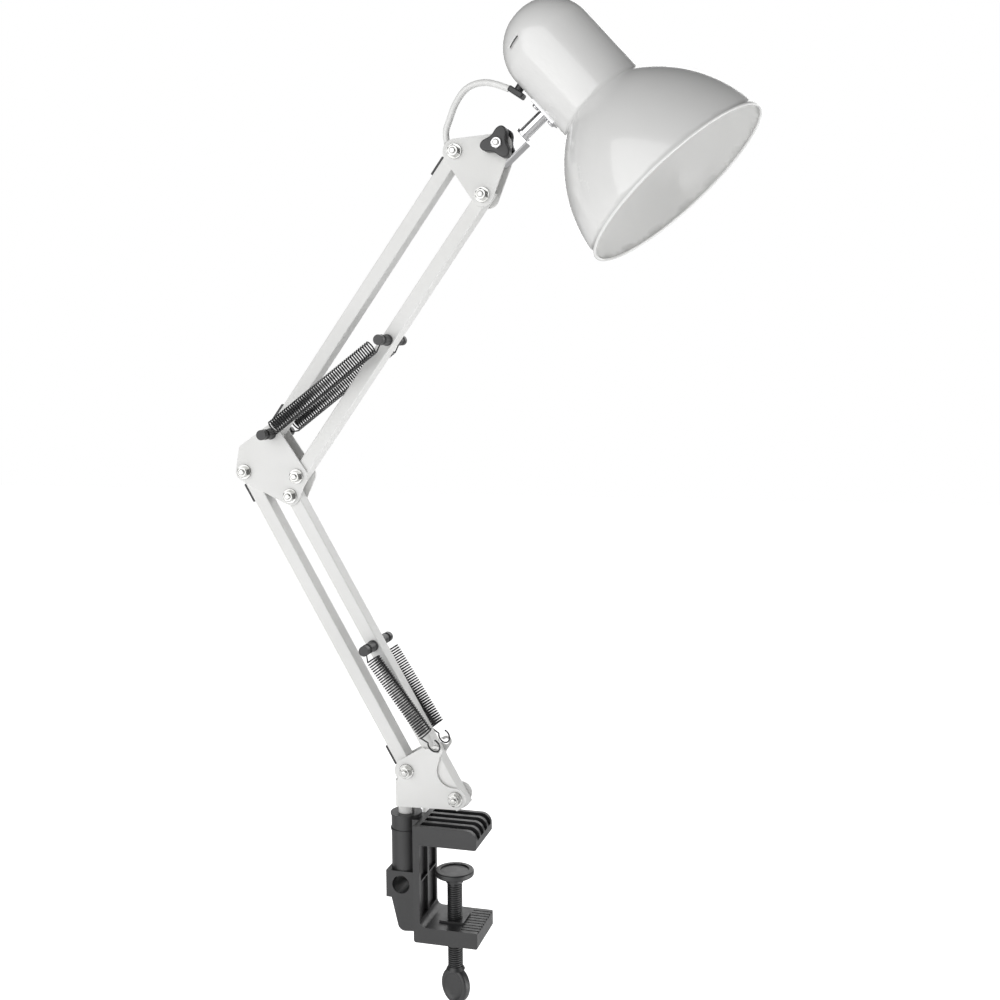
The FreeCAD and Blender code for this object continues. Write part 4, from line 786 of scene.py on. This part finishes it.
EDGE = {"base_bracket": 0.25, "clamp_body": 0.5, "clamp_pad": 0.25, "yoke": 0.2, "lamp_holder": 0.4,
        "elbow_plate_front": 0.25, "elbow_plate_rear": 0.25, "head_plate_front": 0.25, "head_plate_rear": 0.25,
        "plug_body": 0.0, "shade": 0.0, "tilt_knob": 0.15, "lead_upper": 0.0, "lead_lower": 0.0}
PLAIN_EDGE = 0.15


def soften(obj, width):
    """Joins the loose triangles and rounds the sharp edges by a hair, as a real edge is."""
    obj.data.shade_smooth()
    weld = obj.modifiers.new("weld", "WELD")
    weld.merge_threshold = 0.01 * MM
    if width:
        flat = obj.modifiers.new("flat", "DECIMATE")
        flat.decimate_type = "DISSOLVE"
        flat.angle_limit = math.radians(0.6)
        edge = obj.modifiers.new("edge", "BEVEL")
        edge.width = width * MM
        edge.segments = 2
        edge.limit_method = "ANGLE"
        edge.angle_limit = math.radians(34)
        even = obj.modifiers.new("even", "WEIGHTED_NORMAL")
        even.weight = 100


def finish_frame():
    for part in frame["record"]["subparts"]:
        obj = nodes[part["node"]]
        if obj.hide_render:
            continue
        obj.data.materials.clear()
        obj.data.materials.append(FINISHES[part["material_slot"]])
        soften(obj, EDGE.get(part["node"], PLAIN_EDGE))


finish_frame()


# ---------------------------------------------------------------- light and floor

FLOOR_DROP = 0.62
STUDIO_MIDDLE = mm(0, 0, 230)


def softbox(name, place, size, power, aim=STUDIO_MIDDLE):
    data = bpy.data.lights.new(name, "AREA")
    data.shape = "RECTANGLE"
    data.size, data.size_y = size
    data.energy = power
    lamp = bpy.data.objects.new(name, data)
    lamp.location = place
    lamp.rotation_mode = "QUATERNION"
    lamp.rotation_quaternion = (place - aim).to_track_quat("Z", "Y")
    lamp.visible_camera = False
    bpy.context.scene.collection.objects.link(lamp)


def make_world():
    """White for the eye, a soft grey room for the light."""
    world = bpy.data.worlds.new("studio")
    bpy.context.scene.world = world
    world.use_nodes = True
    tree = world.node_tree
    room = tree.nodes["Background"]
    room.inputs["Color"].default_value = (1, 1, 1, 1)
    room.inputs["Strength"].default_value = ROOM_LIGHT
    white = tree.nodes.new("ShaderNodeBackground")
    white.inputs["Color"].default_value = (1, 1, 1, 1)
    path = tree.nodes.new("ShaderNodeLightPath")
    mix = tree.nodes.new("ShaderNodeMixShader")
    tree.links.new(path.outputs["Is Camera Ray"], mix.inputs["Fac"])
    tree.links.new(room.outputs["Background"], mix.inputs[1])
    tree.links.new(white.outputs["Background"], mix.inputs[2])
    tree.links.new(mix.outputs["Shader"], tree.nodes["World Output"].inputs["Surface"])


def make_floor():
    bm = bmesh.new()
    bmesh.ops.create_grid(bm, x_segments=1, y_segments=1, size=9.0)
    bmesh.ops.translate(bm, vec=(0, 0, cad_low.z - FLOOR_DROP), verts=bm.verts)
    floor = bpy.data.objects.new("floor", mesh_of(bm, "floor"))
    material = bpy.data.materials.new("pale_floor")
    material.use_nodes = True
    shader = material.node_tree.nodes["Principled BSDF"]
    shader.inputs["Base Color"].default_value = (0.9, 0.9, 0.9, 1)
    shader.inputs["Roughness"].default_value = 0.9
    shader.inputs["Emission Color"].default_value = (1, 1, 1, 1)
    tree = material.node_tree
    path = tree.nodes.new("ShaderNodeLightPath")
    glow = tree.nodes.new("ShaderNodeMapRange")
    glow.inputs["To Min"].default_value = FLOOR_GLOW
    glow.inputs["To Max"].default_value = FLOOR_SEEN
    tree.links.new(path.outputs["Is Camera Ray"], glow.inputs["Value"])
    tree.links.new(glow.outputs["Result"], shader.inputs["Emission Strength"])
    floor.data.materials.append(material)
    bpy.context.scene.collection.objects.link(floor)


ROOM_LIGHT = 0.12
FLOOR_GLOW = 0.34
FLOOR_SEEN = 1.0
make_world()
make_floor()
softbox("key", Vector((-1.1, -2.3, 0.8)), (3.4, 3.0), 57)
softbox("fill", Vector((2.5, 0.1, 0.3)), (1.6, 1.8), 19)
softbox("low_reflector", Vector((1.3, 0.0, -0.65)), (1.4, 1.2), 9, mm(120, 0, 520))
softbox("back", Vector((0.2, 2.3, 1.0)), (2.4, 1.6), 22)
view = bpy.context.scene.view_settings
view.view_transform = "Standard"
view.look = "None"
